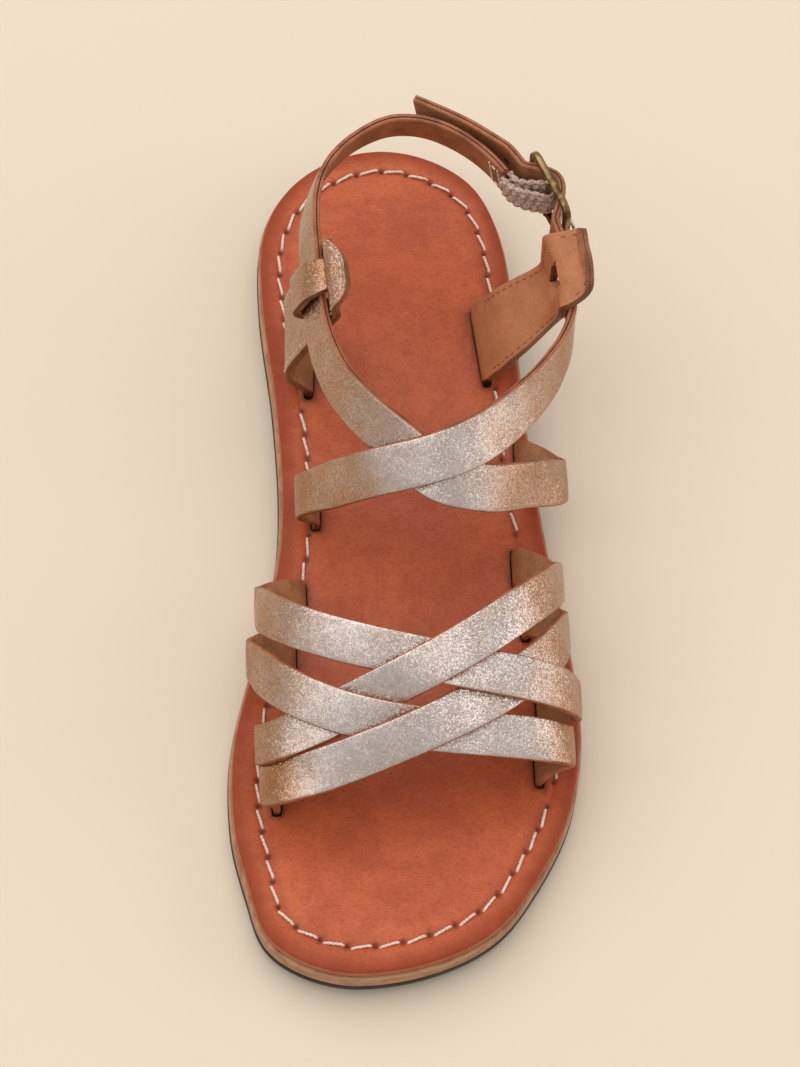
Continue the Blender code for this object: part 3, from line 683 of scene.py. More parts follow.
@dataclass(frozen=True)
class StitchRow:
    """A row of stitches: each a twisted thread that rises out of one hole and dives into the next."""
    length: float
    radius: float
    lift: float
    dive: float
    ply: float = 0.16
    twist: float = 5.0
    rows: int = 15
    sides: int = 10

    def threads(self, centres: Array, runs: Array, normals: Array) -> tuple[Array, Array]:
        """All stitches of the row.

        With t from -1 to 1 along a stitch, its middle line is half the length times t along the run
        and lift - dive times t to the sixth above the surface. The radius closes at both ends and
        swells twice round it in a pattern that turns with t, as two twisted plies do.

        Args:
            centres: Middle of each stitch on the surface.
            runs: Direction of each stitch.
            normals: Direction away from the surface.

        Returns:
            Points and faces.
        """
        t = np.linspace(-1, 1, self.rows)
        angle = turns(self.sides)
        height = self.lift - self.dive * t ** 6
        line = (centres[:, None] + runs[:, None] * (t * self.length / 2)[None, :, None]
                + normals[:, None] * height[None, :, None])
        swell = 1 + self.ply * np.cos(2 * (angle[None] - self.twist * t[:, None]))
        radius = self.radius * swell * np.sqrt(1 - t ** 8)[:, None]
        sides = np.cross(runs, normals)
        ring = (radius * np.cos(angle))[None, :, :, None] * sides[:, None, None]
        ring = ring + (radius * np.sin(angle))[None, :, :, None] * normals[:, None, None]
        points = line[:, :, None] + ring
        faces = quads(self.rows, self.sides)[None]
        faces = faces + (np.arange(len(centres)) * self.rows * self.sides)[:, None, None]
        return points.reshape(-1, 3), faces.reshape(-1, 4)

    def sew(self, bench: Bench, name: str, node: str, finish: Finish, *lines: Array) -> None:
        """Add the stitches to a node; the lines are the middles, runs and normals of threads()."""
        bench.fit(bench.mesh(name, *self.threads(*lines)), node, finish, stands_in=False)


class Patch:
    """A smooth sheet given by a grid of points, read between its rows and columns."""

    def __init__(self, grid: Array, outward: Array) -> None:
        """Keep the grid and work out its normals, on the side of a given direction.

        Args:
            grid: Points, row by row.
            outward: Direction on the outer side.
        """
        normal = unit(np.cross(np.gradient(grid, axis=0), np.gradient(grid, axis=1)))
        self.hand = 1.0 if np.sum(normal * outward) > 0 else -1.0
        self.rows = np.concatenate((grid, normal * self.hand), axis=2)

    def at(self, row: Array, column: Array) -> tuple[Array, Array]:
        """Points and normals at fractions of rows and columns, by straight blending.

        Args:
            row: Rows, with fractions.
            column: Columns, with fractions.

        Returns:
            Points and normals.
        """
        i = np.clip(row.astype(int), 0, self.rows.shape[0] - 2)
        j = np.clip(column.astype(int), 0, self.rows.shape[1] - 2)
        a, b = (row - i)[:, None], (column - j)[:, None]
        near = self.rows[i, j] * (1 - b) + self.rows[i, j + 1] * b
        far = self.rows[i + 1, j] * (1 - b) + self.rows[i + 1, j + 1] * b
        found = near * (1 - a) + far * a
        return found[:, :3], unit(found[:, 3:])


# Sole


@dataclass(frozen=True)
class SoleForm:
    """The sole's outline and the rise of its layers."""
    length: float = 192.6
    middle: float = -2.0
    toe_tip: float = -11.0
    toe_turn: float = 110.0
    heel_lift: float = 5.2
    breast: float = 33.0
    ball_back: float = -26.0
    tread_front: float = -52.0
    toe_spring: float = 4.0
    top: float = 8.4
    footbed_thick: float = 2.6
    tread_margin: float = 2.8
    tread_depth: float = 0.05
    # From the heel, medial edge and lateral edge
    sections: tuple[Triple, ...] = (
        (8, 19.3, 19.2), (20, 26.6, 25.4), (38, 28.0, 27.9), (66, 25.6, 29.0), (97, 25.6, 32.2),
        (122, 31.4, 36.0), (142, 36.3, 36.7), (158, 36.6, 33.4), (174, 33.4, 24.8), (186, 28.2, 13.4))

    def shift(self, from_heel: Array) -> Array:
        """How far the outline's middle has moved to the big toe's side."""
        return self.toe_tip * ease((from_heel - self.toe_turn) / (self.length - self.toe_turn))

    def edges(self, turn: Array, inset: Any) -> tuple[Array, Array, Array]:
        """Y and the two edges of the sole.

        Y is half the length times the cosine of the turn, and each half width is the sine of the
        turn times a smooth curve through the sections.

        Args:
            turn: 0 at the heel's end to pi at the toe's.
            inset: Distance inside the outline.

        Returns:
            Y, the medial edge's x and the lateral edge's x.
        """
        table = np.array(self.sections)
        row_turn = np.arccos(1 - 2 * table[:, 0] / self.length)
        shift = self.shift(table[:, 0])[:, None] * np.array((1, -1))
        sides = (table[:, 1:] + shift) / np.sin(row_turn)[:, None]
        knots = np.concatenate(([0.0], row_turn, [math.pi]))
        sides = through(knots, np.vstack((sides[:1], sides, sides[-1:])), turn)
        reach = (self.length / 2 - inset) * np.cos(turn)
        middle = self.shift(self.length / 2 - reach)
        medial = np.sin(turn) * (sides[..., 0] - inset)
        lateral = np.sin(turn) * (sides[..., 1] - inset)
        return self.middle + reach, middle - medial, middle + lateral

    def mark_tread(self, bench: Bench, mesh: Mesh, start: float, base: Any) -> None:
        """Mark the points below a layer, inside the tread's plain border, as tread.

        Args:
            bench: Reads and marks the mesh.
            mesh: The layer's mesh.
            start: Lowest y of the tread.
            base: Function of y that gives the underside's height.
        """
        x, y, z = bench.millimetres(mesh).T
        share = np.clip((y - self.middle) / (self.length / 2 - self.tread_margin), -1, 1)
        _, medial, lateral = self.edges(np.arccos(share), self.tread_margin)
        below = z < base(y) + self.tread_depth
        bench.store(mesh, "tread", ((x > medial) & (x < lateral) & (y > start) & below).astype(float))

    def rise(self, y: Array) -> Array:
        """Height of the sole's underside: flat tread, arch up to the heel, spring at the toe.

        Args:
            y: Places along the foot.

        Returns:
            Heights.
        """
        heel = self.heel_lift * ease((y - self.ball_back) / (self.breast - self.ball_back))
        toe = (self.tread_front - y) / (self.tread_front - self.middle + self.length / 2)
        return heel + self.toe_spring * np.clip(toe, 0, 1) ** 2

    def low_corner(self, inset: float, rows: int = 14) -> Pair:
        """Lowest x and y of the solid heel's outline, which has a few rows only.

        Args:
            inset: The heel's inset.
            rows: Rows of the solid's outline.

        Returns:
            X and y.
        """
        reach = math.acos((self.breast - self.middle) / (self.length / 2 - inset))
        _, medial, _ = self.edges(np.linspace(0, reach, rows), inset)
        return float(medial.min()), self.breast

    def footbed_top(self, y: Any) -> Array:
        """Height of the footbed's upper face."""
        return self.rise(np.asarray(y, float)) + self.top

    def loop(self, count: int, inset: Any) -> tuple[Array, Array, Array]:
        """The outline as a closed loop: lateral side from heel to toe, medial side back.

        Args:
            count: Points of the loop.
            inset: Distances inside the outline, one row each.

        Returns:
            X, y and the x of the middle between the two edges.
        """
        turn = turns(count)
        lateral = turn <= math.pi
        y, medial_x, lateral_x = self.edges(np.where(lateral, turn, 2 * math.pi - turn), inset)
        return np.where(lateral, lateral_x, medial_x), y, (medial_x + lateral_x) / 2

    def shell(self, inset: float, base: float, profile: Array, fill: int, count: int) -> Array:
        """Grid of a closed layer: rings from the middle of its top out to its edge and back below.

        Each ring of the profile is the outline at an inset, at the layer's rise plus a height.

        Args:
            inset: The layer's own inset.
            base: Height of the layer's reference above the rise.
            profile: Inset and height of each ring, from the top's inner ring to the bottom's.
            fill: Rings that fill the top, and the bottom.
            count: Points of a ring.

        Returns:
            The grid of points.
        """
        x, y, middle = self.loop(count, inset + profile[:, :1])
        return filled(x, y, self.rise(y) + base + profile[:, 1:], middle, fill)


@dataclass(frozen=True)
class Slit:
    """A slit in the footbed: its place, the direction of its length, and its two sizes."""
    place: Pair
    turn: Triple
    width: float
    thick: float

    def distance(self, points: Array) -> Array:
        """Distance of points from the slit's mouth, seen from above.

        Args:
            points: Points.

        Returns:
            Distances.
        """
        along = unit(self.turn)[:2]
        gap = points[:, :2] - np.array(self.place)
        run = np.abs(gap @ along) - self.width / 2
        side = np.abs(gap @ np.array((along[1], -along[0]))) - self.thick / 2
        return np.hypot(np.maximum(run, 0), np.maximum(side, 0))


@dataclass(frozen=True)
class Dent:
    """A soft trough or swelling pressed into the footbed."""
    x: float
    y: float
    length: float
    width: float
    turn: float
    depth: float

    def height(self, points: Array) -> Array:
        """Minus the depth times a bell that is long one way and narrow the other.

        Args:
            points: Points of the footbed.

        Returns:
            Heights.
        """
        angle = math.radians(self.turn)
        dx, dy = points[..., 0] - self.x, points[..., 1] - self.y
        along = dx * math.cos(angle) + dy * math.sin(angle)
        across = dy * math.cos(angle) - dx * math.sin(angle)
        return -self.depth * bell(along, self.length) * bell(across, self.width)


@dataclass(frozen=True)
class Footbed:
    """The footbed: a leather layer with a stitched border, slits and a burnished rim."""
    bench: Bench
    form: SoleForm
    slits: list[Slit]
    inset: float = 0.9
    points: int = 960
    fill: int = 30
    stitch_inset: float = 5.7
    stitch_pitch: float = 5.6
    stitch_slant: float = 0.16
    stitch_clear: float = 2.3
    slit_room: float = 0.25
    slit_depth: float = 2.2
    slit_reach: float = 6.0
    slit_power: float = 0.4
    hole_depth: float = 0.4
    hole_radius: float = 0.5
    hole_aside: float = 0.25
    # First ring of the profile's stitch groove, and the ring after its last
    groove: tuple[int, int] = (4, 13)
    rim_inset: float = 0.5
    rim_width: float = 4.5
    wall_drop: float = 0.5
    wall_reach: float = 0.6
    # Strength and width of the dark: at a slit's mouth, round it, at a stitch hole, along the stitches.
    # At the mouths and the holes it is painted shade in the opening.
    dark: tuple[Pair, ...] = ((0.6, 0.6), (0.16, 2.4), (0.98, 0.62), (0.35, 0.8))
    # Inset and height of each ring, from the pad's edge over the stitch groove and round the rim
    profile: tuple[Pair, ...] = (
        (14.0, 0.22), (12.0, 0.22), (10.4, 0.20), (9.2, 0.14), (8.3, 0.05), (7.5, 0.0), (6.9, -0.02),
        (6.45, -0.08), (6.05, -0.2), (5.7, -0.27), (5.35, -0.2), (4.95, -0.07), (4.4, 0.0), (3.4, 0.02),
        (2.4, 0.0), (1.5, -0.05), (0.9, -0.14), (0.5, -0.3), (0.22, -0.55), (0.06, -0.9), (0.0, -1.3),
        (0.0, -1.8), (0.05, -2.3), (0.3, -2.56), (0.9, -2.6))
    dents: tuple[Dent, ...] = (
        Dent(2, 62, 17, 22, 0, 0.5), Dent(0, -40, 24, 26, 0, 0.35), Dent(-12, -66, 9, 6, 0, 0.2),
        Dent(2, -62, 16, 1.6, 4, 0.10), Dent(-8, -55, 11, 1.4, -6, 0.08),
        Dent(9, -71, 12, 1.5, 8, 0.08),
        Dent(4, 7, 15, 1.8, -5, 0.10), Dent(-3, 17, 12, 1.6, 4, 0.08), Dent(10, 27, 9, 1.5, 10, 0.08),
        Dent(-9, 50, 8, 1.4, 20, 0.07), Dent(7, 76, 11, 1.6, -8, 0.08), Dent(-14, -8, 8, 1.5, 12, 0.08))

    def stitch_line(self) -> tuple[Array, Array, Array]:
        """Evenly spaced stitches along the border.

        Returns:
            Middles, directions and outward directions, all level.
        """
        x, y, _ = self.form.loop(self.points * 2, np.array([[self.inset + self.stitch_inset]]))
        line = np.column_stack((np.append(x, x[0, 0]), np.append(y, y[0, 0])))
        at = lengths(line)
        count = int(round(at[-1] / self.stitch_pitch))
        spots = (np.arange(count) + 0.5) * at[-1] / count
        step = 0.2
        middle, ahead = (np.column_stack([np.interp(place, at, axis) for axis in line.T])
                         for place in (spots, spots + step))
        run = unit(ahead - middle)
        outward = np.column_stack((-run[:, 1], run[:, 0]))
        facing = np.sum(outward * (middle - np.array((0.0, self.form.middle))), axis=1, keepdims=True)
        return middle, run, np.where(facing > 0, outward, -outward)

    def hole_line(self) -> Array:
        """Stitch holes halfway between the stitches, a little to the inside."""
        middle, run, outward = self.stitch_line()
        return middle + run * self.stitch_pitch / 2 - outward * self.hole_aside

    def build(self) -> None:
        """The footbed with its dents, stitch holes and slits."""
        profile = np.array(self.profile)
        grid = self.form.shell(self.inset, self.form.top, profile, self.fill, self.points)
        top = slice(0, self.fill + int(np.argmin(np.abs(profile[:, 0] - self.rim_inset))))
        grid[top, :, 2] += sum(dent.height(grid[top]) for dent in self.dents)
        band = slice(self.fill + self.groove[0], self.fill + self.groove[1])
        holes = self.hole_line()
        gap = np.min(np.linalg.norm(grid[band, :, None, :2] - holes, axis=3), axis=2)
        grid[band, :, 2] -= self.hole_depth * bell(gap, self.hole_radius)
        piece = self.bench.tube("footbed_leather", grid)
        slits, room = self.slits, self.slit_room
        rights = np.array([np.cross(unit(slit.turn), (0, 0, 1)) for slit in slits])
        height = self.form.footbed_top([slit.place[1] for slit in slits])
        lift = height - self.slit_depth + self.slit_reach
        centres = np.column_stack(([slit.place for slit in slits], lift))
        sizes = np.array([(slit.thick / 2 + room, slit.width / 2 + room, self.slit_reach)
                          for slit in slits])
        ups = np.broadcast_to((0.0, 0.0, 1.0), centres.shape)
        self.bench.cut(piece, *prisms(centres, rights, ups, sizes, self.slit_power))
        self.mark(piece.data, holes)
        self.bench.fit(piece, "footbed", FootbedLeather("footbed_leather"))

    def nearest(self, points: Array, spots: Array) -> Array:
        """Distance of each point from the nearest spot, seen from above, a part of them at a time."""
        parts = np.array_split(points[:, None, :2], 1 + len(points) // 2000)
        return np.concatenate([np.linalg.norm(part - spots, axis=2).min(axis=1) for part in parts])

    def mark(self, mesh: Mesh, holes: Array) -> None:
        """Store the burnished rim, the cut wall and the painted shade of the slits and stitch holes on
        the points.

        Args:
            mesh: The footbed's mesh.
            holes: Dark places of the stitch holes.
        """
        points = self.bench.millimetres(mesh)
        x, y, _ = self.form.loop(self.points, np.array([[self.inset]]))
        outline = np.column_stack((x[0], y[0]))
        edge = self.nearest(points, outline)
        drop = self.form.footbed_top(points[:, 1]) - points[:, 2]
        slit = np.min([item.distance(points) for item in self.slits], axis=0)
        hole = self.nearest(points, holes)
        wall = ease((drop - self.wall_drop) / self.wall_drop) * (edge < self.wall_reach)
        places = (slit, slit, hole, edge - self.stitch_inset)
        mouth, around, sewn, border = (strength * bell(place, width)
                                       for place, (strength, width) in zip(places, self.dark))
        # Painted shade in the slit mouths and stitch holes, and a soft darkening round the slits
        pressed = np.maximum(mouth + around, sewn)
        rim = np.maximum(1 - ease((edge - 0.4) / self.rim_width), border)
        for name, values in (("rim", rim), ("wall", wall),
                             ("pressed", np.clip(pressed, 0, 0.94) * (1 - wall))):
            self.bench.store(mesh, name, values)

    def stitch(self) -> None:
        """The cream stitches round the border, left out where a slit is."""
        middle, run, outward = self.stitch_line()
        clear = np.min([slit.distance(middle) for slit in self.slits], axis=0) > self.stitch_clear
        middle, run, outward = middle[clear], run[clear], outward[clear]
        slope = (self.form.rise(middle[:, 1] + 0.5) - self.form.rise(middle[:, 1] - 0.5))[:, None]
        run = unit(run + outward * self.stitch_slant)
        runs = unit(np.column_stack((run, run[:, 1:] * slope)))
        normals = unit(np.column_stack((np.zeros(len(slope)), -slope[:, 0], np.ones(len(slope)))))
        normals = unit(normals - runs * np.sum(normals * runs, axis=1, keepdims=True))
        centres = np.column_stack((middle, self.form.footbed_top(middle[:, 1])))
        row = StitchRow(length=4.7, radius=0.3, lift=0.05, dive=0.75, ply=0.14, twist=9.0, rows=21)
        row.sew(self.bench, "footbed_stitches", "footbed", THREAD, centres, runs, normals)


@dataclass(frozen=True)
class SoleLayer:
    """A layer below the footbed: its inset, its heights and the rounding of its edge."""
    bench: Bench
    node: str
    form: SoleForm
    inset: float
    low: float
    high: float
    rounding: float
    inner: float = 3.0
    fill: int = 8
    points: int = 480

    def build(self, finish: Finish) -> None:
        """A flat layer bent to the sole's rise, with rounded edges.

        Args:
            finish: The layer's finish.
        """
        turn = np.linspace(0, math.pi / 2, 6)
        inset = self.rounding * (1 - np.sin(turn))
        drop = self.rounding * (1 - np.cos(turn))
        upper = np.column_stack((inset, self.high - drop))
        lower = np.column_stack((inset, self.low + drop))[::-1]
        middle = np.linspace(upper[-1], lower[0], 5)[1:-1]
        ends = (self.inner, self.high), (self.inner, self.low)
        profile = np.vstack((ends[0], upper, middle, lower, ends[1]))
        grid = self.form.shell(self.inset, 0.0, profile, self.fill, self.points)
        piece = self.bench.tube(self.node + "_layer", grid)
        self.form.mark_tread(self.bench, piece.data, -self.form.length,
                             lambda y: self.form.rise(y) + self.low)
        self.bench.fit(piece, self.node, finish)


@dataclass(frozen=True)
class Heel:
    """The low heel: the outline's rear, cut off straight at the breast."""
    bench: Bench
    form: SoleForm
    inset: float = 0.6
    rounding: float = 0.7
    joint: float = 0.05
    inner: float = 3.0
    fill: int = 8
    curve: int = 120
    straight: int = 60

    def loop(self, inset: Array) -> tuple[Array, Array, Array]:
        """Loops at several insets: lateral curve forward, breast across, medial curve back.

        Args:
            inset: Distances inside the heel's own outline, one row each.

        Returns:
            X, y and the middle's x.
        """
        form, deep = self.form, inset + self.inset
        reach = np.arccos((form.breast + inset - form.middle) / (form.length / 2 - deep))
        turn = np.linspace(0, 1, self.curve)[None] * reach
        y, medial, lateral = form.edges(turn, deep)
        share = np.linspace(0, 1, self.straight + 2)[None, 1:-1]
        across = lateral[:, -1:] * (1 - share) + medial[:, -1:] * share
        level = np.broadcast_to(y[:, -1:], across.shape)
        centre = (medial + lateral) / 2
        inner = np.broadcast_to(centre[:, -1:], across.shape)
        parts = (lateral, across, medial), (y, level, y), (centre, inner, centre)
        return tuple(np.concatenate((out, straight, back[:, :0:-1]), axis=1)
                     for out, straight, back in parts)

    def build(self, finish: Finish) -> None:
        """A flat block with its lower edge rounded.

        Args:
            finish: The heel's finish.
        """
        turn = np.linspace(0, math.pi / 2, 6)
        lower = self.rounding * (1 - np.column_stack((np.cos(turn), np.sin(turn))))
        height = self.form.heel_lift - self.joint
        side = [(0.0, height * share) for share in (1, 0.6, 0.3)]
        profile = np.vstack(((self.inner, height), side, lower, (self.inner, 0)))
        x, y, middle = self.loop(profile[:, :1])
        grid = filled(x, y, np.broadcast_to(profile[:, 1:], x.shape), middle, self.fill)
        piece = self.bench.tube("heel_block", grid)
        start = self.form.breast + self.form.tread_margin
        self.form.mark_tread(self.bench, piece.data, start, np.zeros_like)
        self.bench.fit(piece, "heel", finish)


# Strap routes


class Route:
    """A strap's middle line, with the direction of its width and of its outer face."""

    def __init__(self, points: Any, sides: Any, hand: int = 1, step: float = 3.0,
                 knots: Array | None = None) -> None:
        """Run a smooth line through points.

        Args:
            points: Points in order.
            sides: Direction of the width at each.
            hand: 1 or -1, which way the outer face lies.
            step: Spacing of the sections.
            knots: Places of the points, or none for their own distances.
        """
        self.hand = hand
        knots = lengths(np.asarray(points, float)) if knots is None else knots
        self.at = np.linspace(0, knots[-1], int(round(knots[-1] / step)) + 1)
        self.points = through(knots, points, self.at)
        self.frame(through(knots, unit(sides), self.at))

    def frame(self, sides: Array) -> None:
        """Square the width to the line and work out the outer face's direction.

        Args:
            sides: Direction of the width at each section.
        """
        self.along = unit(np.gradient(self.points, self.at, axis=0))
        slant = np.sum(sides * self.along, axis=1, keepdims=True)
        self.side = unit(sides - slant * self.along)
        self.face = unit(np.cross(self.along, self.side)) * self.hand

    def lift(self, height: Array) -> None:
        """Move the line along the outer face's direction."""
        self.points = self.points + self.face * height[:, None]
        self.frame(self.side)

    def place(self, at: Any) -> tuple[Array, Array, Array, Array]:
        """Point, direction, width and face directions at distances along the line.

        Args:
            at: One distance or an array of them.

        Returns:
            Points and the three directions.
        """
        rows = np.concatenate((self.points, self.along, self.side, self.face), axis=1)
        found = through(self.at, rows, np.asarray(at, float))
        return found[..., :3], unit(found[..., 3:6]), unit(found[..., 6:9]), unit(found[..., 9:])

    def at_y(self, y: float) -> float:
        """Distance along the line's later part where it first passes a place along the foot.

        Args:
            y: The place.

        Returns:
            The distance.
        """
        later = np.nonzero(self.at > 0.3 * self.at[-1])[0]
        past = later[np.argmax(self.points[later, 1] > y)]
        pair = slice(past - 1, past + 1)
        return float(np.interp(y, self.points[pair, 1], self.at[pair]))

    def nearest(self, points: Array) -> Array:
        """Number of the section nearest to each point."""
        return np.argmin(np.sum(self.points ** 2, axis=1) - 2 * points @ self.points.T, axis=1)

    def spread(self, across: Array, out: Any) -> Array:
        """Points of the sections at places across them and out from them."""
        grid = self.points[:, None] + self.side[:, None] * across[..., None]
        return grid + self.face[:, None] * np.asarray(out)[..., None]

    def refined(self, step: float) -> "Route":
        """The same line with sections closer together."""
        return Route(self.points, self.side, self.hand, step, self.at)


@dataclass(frozen=True)
class SlitRise:
    """The straight stretch of a strap up through a slit."""
    form: SoleForm
    end: float = 0.9
    mouth: float = 0.2
    step: float = 1.6
    # Shares of the way to the fold: across the foot, along it and up
    swelling: Triple = (0.44, 0.5, 0.74)

    def rows(self, place: Pair) -> list[Triple]:
        """Three points from the bottom up.

        Args:
            place: The slit's place.

        Returns:
            The points.
        """
        top = float(self.form.footbed_top(place[1]))
        heights = (top - self.form.footbed_thick + self.end, top - self.mouth, top + self.step)
        return [(*place, height) for height in heights]

    def swell(self, foot: Triple, fold: Array) -> Triple:
        """A point between slit and fold, where the strap has risen more than it has swelled out."""
        return tuple(np.array(foot) + (np.array(fold) - np.array(foot)) * self.swelling)


# Straps


@dataclass(frozen=True)
class StrapSection:
    """A strap's cross section: a slightly crowned outer face, round edges and a flat inner face."""
    width: float
    thick: float
    rounding: float = 0.42
    crown: float = 0.10
    groove: float = 0.0
    face_points: int = 13
    corner_points: int = 4

    def outline(self) -> tuple[Array, Array]:
        """The closed outline, and the zone that follows each of its points.

        The outer face is crowned by the crown times one minus the square of the place across. Round
        corners follow, then the side, which dips by the groove where two layers meet.

        Returns:
            Across and out for each point, and zone numbers.
        """
        wide, tall, bend = self.width / 2, self.thick / 2, self.rounding
        flat = np.linspace(-1, 1, self.face_points) * (wide - bend)
        outer = np.column_stack((flat, tall + self.crown * (1 - (flat / (wide - bend)) ** 2)))
        turn = np.linspace(0, math.pi / 2, self.corner_points)[1:]
        corner = np.column_stack((wide - bend + bend * np.sin(turn), tall - bend + bend * np.cos(turn)))
        deep = wide - self.groove
        side = np.array(((wide, 0.13), (deep, 0.05), (deep, -0.05), (wide, -0.13)))
        right = np.vstack((corner, side, corner[::-1] * (1, -1)))
        inner = np.column_stack((flat[::-1], np.full(len(flat), -tall)))
        points = np.vstack((outer, right, inner, right[::-1] * (-1, 1)))
        face = np.full(len(flat) - 1, Zone.FOIL.value)
        edge = np.full(len(right) + 1, Zone.EDGE.value)
        edge[0] = Zone.FOIL.value
        if self.groove:
            edge[len(corner) + 1:len(corner) + 4] = Zone.SEAM.value
        lining = np.full(len(flat) - 1, Zone.LINING.value)
        return points, np.concatenate((face, edge, lining, edge[::-1]))


@dataclass(frozen=True)
class Crease:
    """A soft fold across a strap: place along it, depth, width and lean."""
    at: float
    depth: float
    width: float
    lean: float = 0.0


@dataclass
class Strap:
    """A strap: its section carried along its route, with its listed creases."""
    bench: Bench
    name: str
    node: str
    route: Route
    section: StrapSection
    creases: tuple[Crease, ...] = ()
    step: float = 0.7
    tail_slant: float = 0.0
    tail_length: float = 8.0
    slits: int = 2
    neck: float = 0.13
    neck_start: float = 1.5
    neck_length: float = 3.2
    fold_end: float = 17.0
    fold_fade: float = 12.0
    line: Route = field(init=False)
    fold: Array = field(init=False)
    across: Array = field(init=False)
    drape: Array = field(init=False)
    piece: Piece | None = field(default=None, init=False)

    def __post_init__(self) -> None:
        """Lay the line and the places across it, a little narrower where a slit holds the strap.

        A strap that comes up out of a slit folds round a line along the foot, so its sections lie
        along the foot there.
        """
        self.line = line = self.route.refined(self.step)
        from_slit = self.from_slit()
        self.fold = 1 - ease((from_slit - self.fold_end) / self.fold_fade)
        level = np.array((0.0, 1.0, 0.0)) * np.sign(line.side[:, 1:2])
        line.side = unit(line.side + (level - line.side) * self.fold[:, None])
        line.face = unit(np.cross(line.along, line.side)) * line.hand
        narrow = 1 - self.neck * (1 - ease((from_slit - self.neck_start) / self.neck_length))
        self.across = self.section.outline()[0][:, 0] * narrow[:, None]
        self.drape = np.zeros((*self.across.shape, 3))

    def from_slit(self) -> Array:
        """Distance of each section from the nearest slit."""
        at = self.line.at
        return at if self.slits == 1 else np.minimum(at, at[-1] - at)

    def share(self) -> Array:
        """Places across the strap, from -1 to 1."""
        return self.across / (self.section.width / 2)

    def move(self, moves: Array) -> None:
        """Move the sections out by a column of heights, tipped by a column of slopes."""
        out = moves[:, :1] + moves[:, 1:] * self.share()
        self.drape = out[..., None] * self.line.face[:, None]

    def build(self) -> None:
        """The strap's mesh with its zones and its own map.

        A point is the route's point plus its side times across plus its face times out. A crease
        lowers out by its depth times a bell of the distance along, leaned by the place across.
        """
        line, across = self.line, self.across
        outline, zones = self.section.outline()
        out = np.broadcast_to(outline[:, 1], across.shape)
        for crease in self.creases:
            along = line.at[:, None] - crease.at * line.at[-1] - crease.lean * across
            out = out - crease.depth * bell(along, crease.width)
        grid = line.spread(across, out) + self.drape
        if self.tail_slant:
            share = ease((line.at - line.at[-1] + self.tail_length) / self.tail_length)[:, None, None]
            grid = grid + line.along[:, None] * (across[..., None] * self.tail_slant * share)
        grid = capped(grid)
        rows, columns = grid.shape[:2]
        ends = (0, 0, line.at[-1], line.at[-1])
        spot = np.interp(np.arange(rows), (1, 2, rows - 3, rows - 2), ends)
        girth = lengths(np.vstack((outline, outline[:1])))
        row = np.repeat(np.arange(rows - 1), columns)
        column = np.tile(np.arange(columns), rows - 1)
        run = np.stack([np.stack((spot[row + ahead], girth[column + aside]), -1)
                        for ahead, aside in ((0, 0), (0, 1), (1, 1), (1, 0))], axis=1)
        zone = np.tile(zones, (rows - 1, 1))
        zone[:2] = zone[-2:] = Zone.EDGE.value
        self.piece = self.bench.mesh(self.name, grid.reshape(-1, 3), quads(rows, columns),
                                     zone.ravel(), run * MM)
        self.mark()

    def mark(self) -> None:
        """Store on the points how far their section bends up from a slit or turns to the side: the
        share of painted side shade on the foil.
        """
        nearest = self.line.nearest(self.bench.millimetres(self.piece.data))
        # Sections that face the side take painted side shade
        aside = 0.8 * ease((np.abs(self.line.face[:, 0]) - 0.3) / 0.5)
        self.bench.store(self.piece.data, "fold", np.maximum(self.fold, aside)[nearest])

    def fit(self) -> None:
        """Dress the strap and set it on the object."""
        self.bench.fit(self.piece, self.node, *STRAP_FINISHES)


@dataclass(frozen=True)
class Settling:
    """Lets straps that cross settle, one on the other, as stiff bands do."""
    rounds: int = 260
    room: float = 0.05
    reach: float = 5.0
    overlap: float = 1.05
    held: float = 7.0
    eased: float = 9.0
    back: float = 15.0

    def touch(self, over: Strap, under: Strap) -> tuple[Array, ...]:
        """Where the upper strap lies over the lower one.

        Args:
            over: The upper strap.
            under: The lower strap.

        Returns:
            Row and place across in the upper strap, row and place across in the lower one, and the
            height that is missing between them.
        """
        points = over.line.spread(over.across, 0.0).reshape(-1, 3)
        low = under.line
        nearest = low.nearest(points)
        away = points - low.points[nearest]
        beside = np.sum(away * low.side[nearest], axis=1) / (under.section.width / 2)
        height = np.sum(away * low.face[nearest], axis=1)
        close = (np.abs(beside) < self.overlap) & (np.abs(height) < self.reach)
        met = np.nonzero(close & (points[:, 1] < self.back))[0]
        need = (over.section.thick + under.section.thick) / 2 + under.section.crown + self.room
        row = met // over.across.shape[1]
        return row, over.share().ravel()[met], nearest[met], beside[met], need - height[met]

    def run(self, straps: list[Strap], order: tuple[tuple[int, int], ...]) -> None:
        """Part the straps at their crossings, smoothing them along as they move.

        Each round moves and tips the sections of both straps by half of what is still missing on
        average, then blends every section with its neighbours. Sections near a slit stay.

        Args:
            straps: All straps.
            order: Upper and lower strap of each crossing.
        """
        touches = [self.touch(straps[over], straps[under]) for over, under in order]
        moves = [np.zeros((len(strap.line.at), 2)) for strap in straps]
        free = [ease((strap.from_slit() - self.held) / self.eased)[:, None] for strap in straps]
        for _ in range(self.rounds):
            for (over, under), (row, share, low_row, low_share, missing) in zip(order, touches):
                up, down = moves[over], moves[under]
                gap = up[row, 0] + up[row, 1] * share - down[low_row, 0] - down[low_row, 1] * low_share
                short = np.clip(missing - gap, 0, None) / 2
                for move, index, place, sign in ((up, row, share, 1), (down, low_row, low_share, -1)):
                    count = np.maximum(np.bincount(index, minlength=len(move)), 1)
                    move[:, 0] += sign * np.bincount(index, short, len(move)) / count
                    move[:, 1] += sign * np.bincount(index, short * place, len(move)) / count
            for index, move in enumerate(moves):
                padded = np.pad(move, ((1, 1), (0, 0)), mode="edge")
                moves[index] = (padded[:-2] + 2 * move + padded[2:]) / 4 * free[index]
        for strap, move in zip(straps, moves):
            strap.move(move)


@dataclass(frozen=True)
class ToeLine:
    """One toe strap's place: its slits, its folds along the foot, its bow and the bow's lean."""
    name: str
    medial_slit: Pair
    medial_along: float
    lateral_slit: Pair
    lateral_along: float
    bow: float
    skew: float
    creases: tuple[Crease, ...]


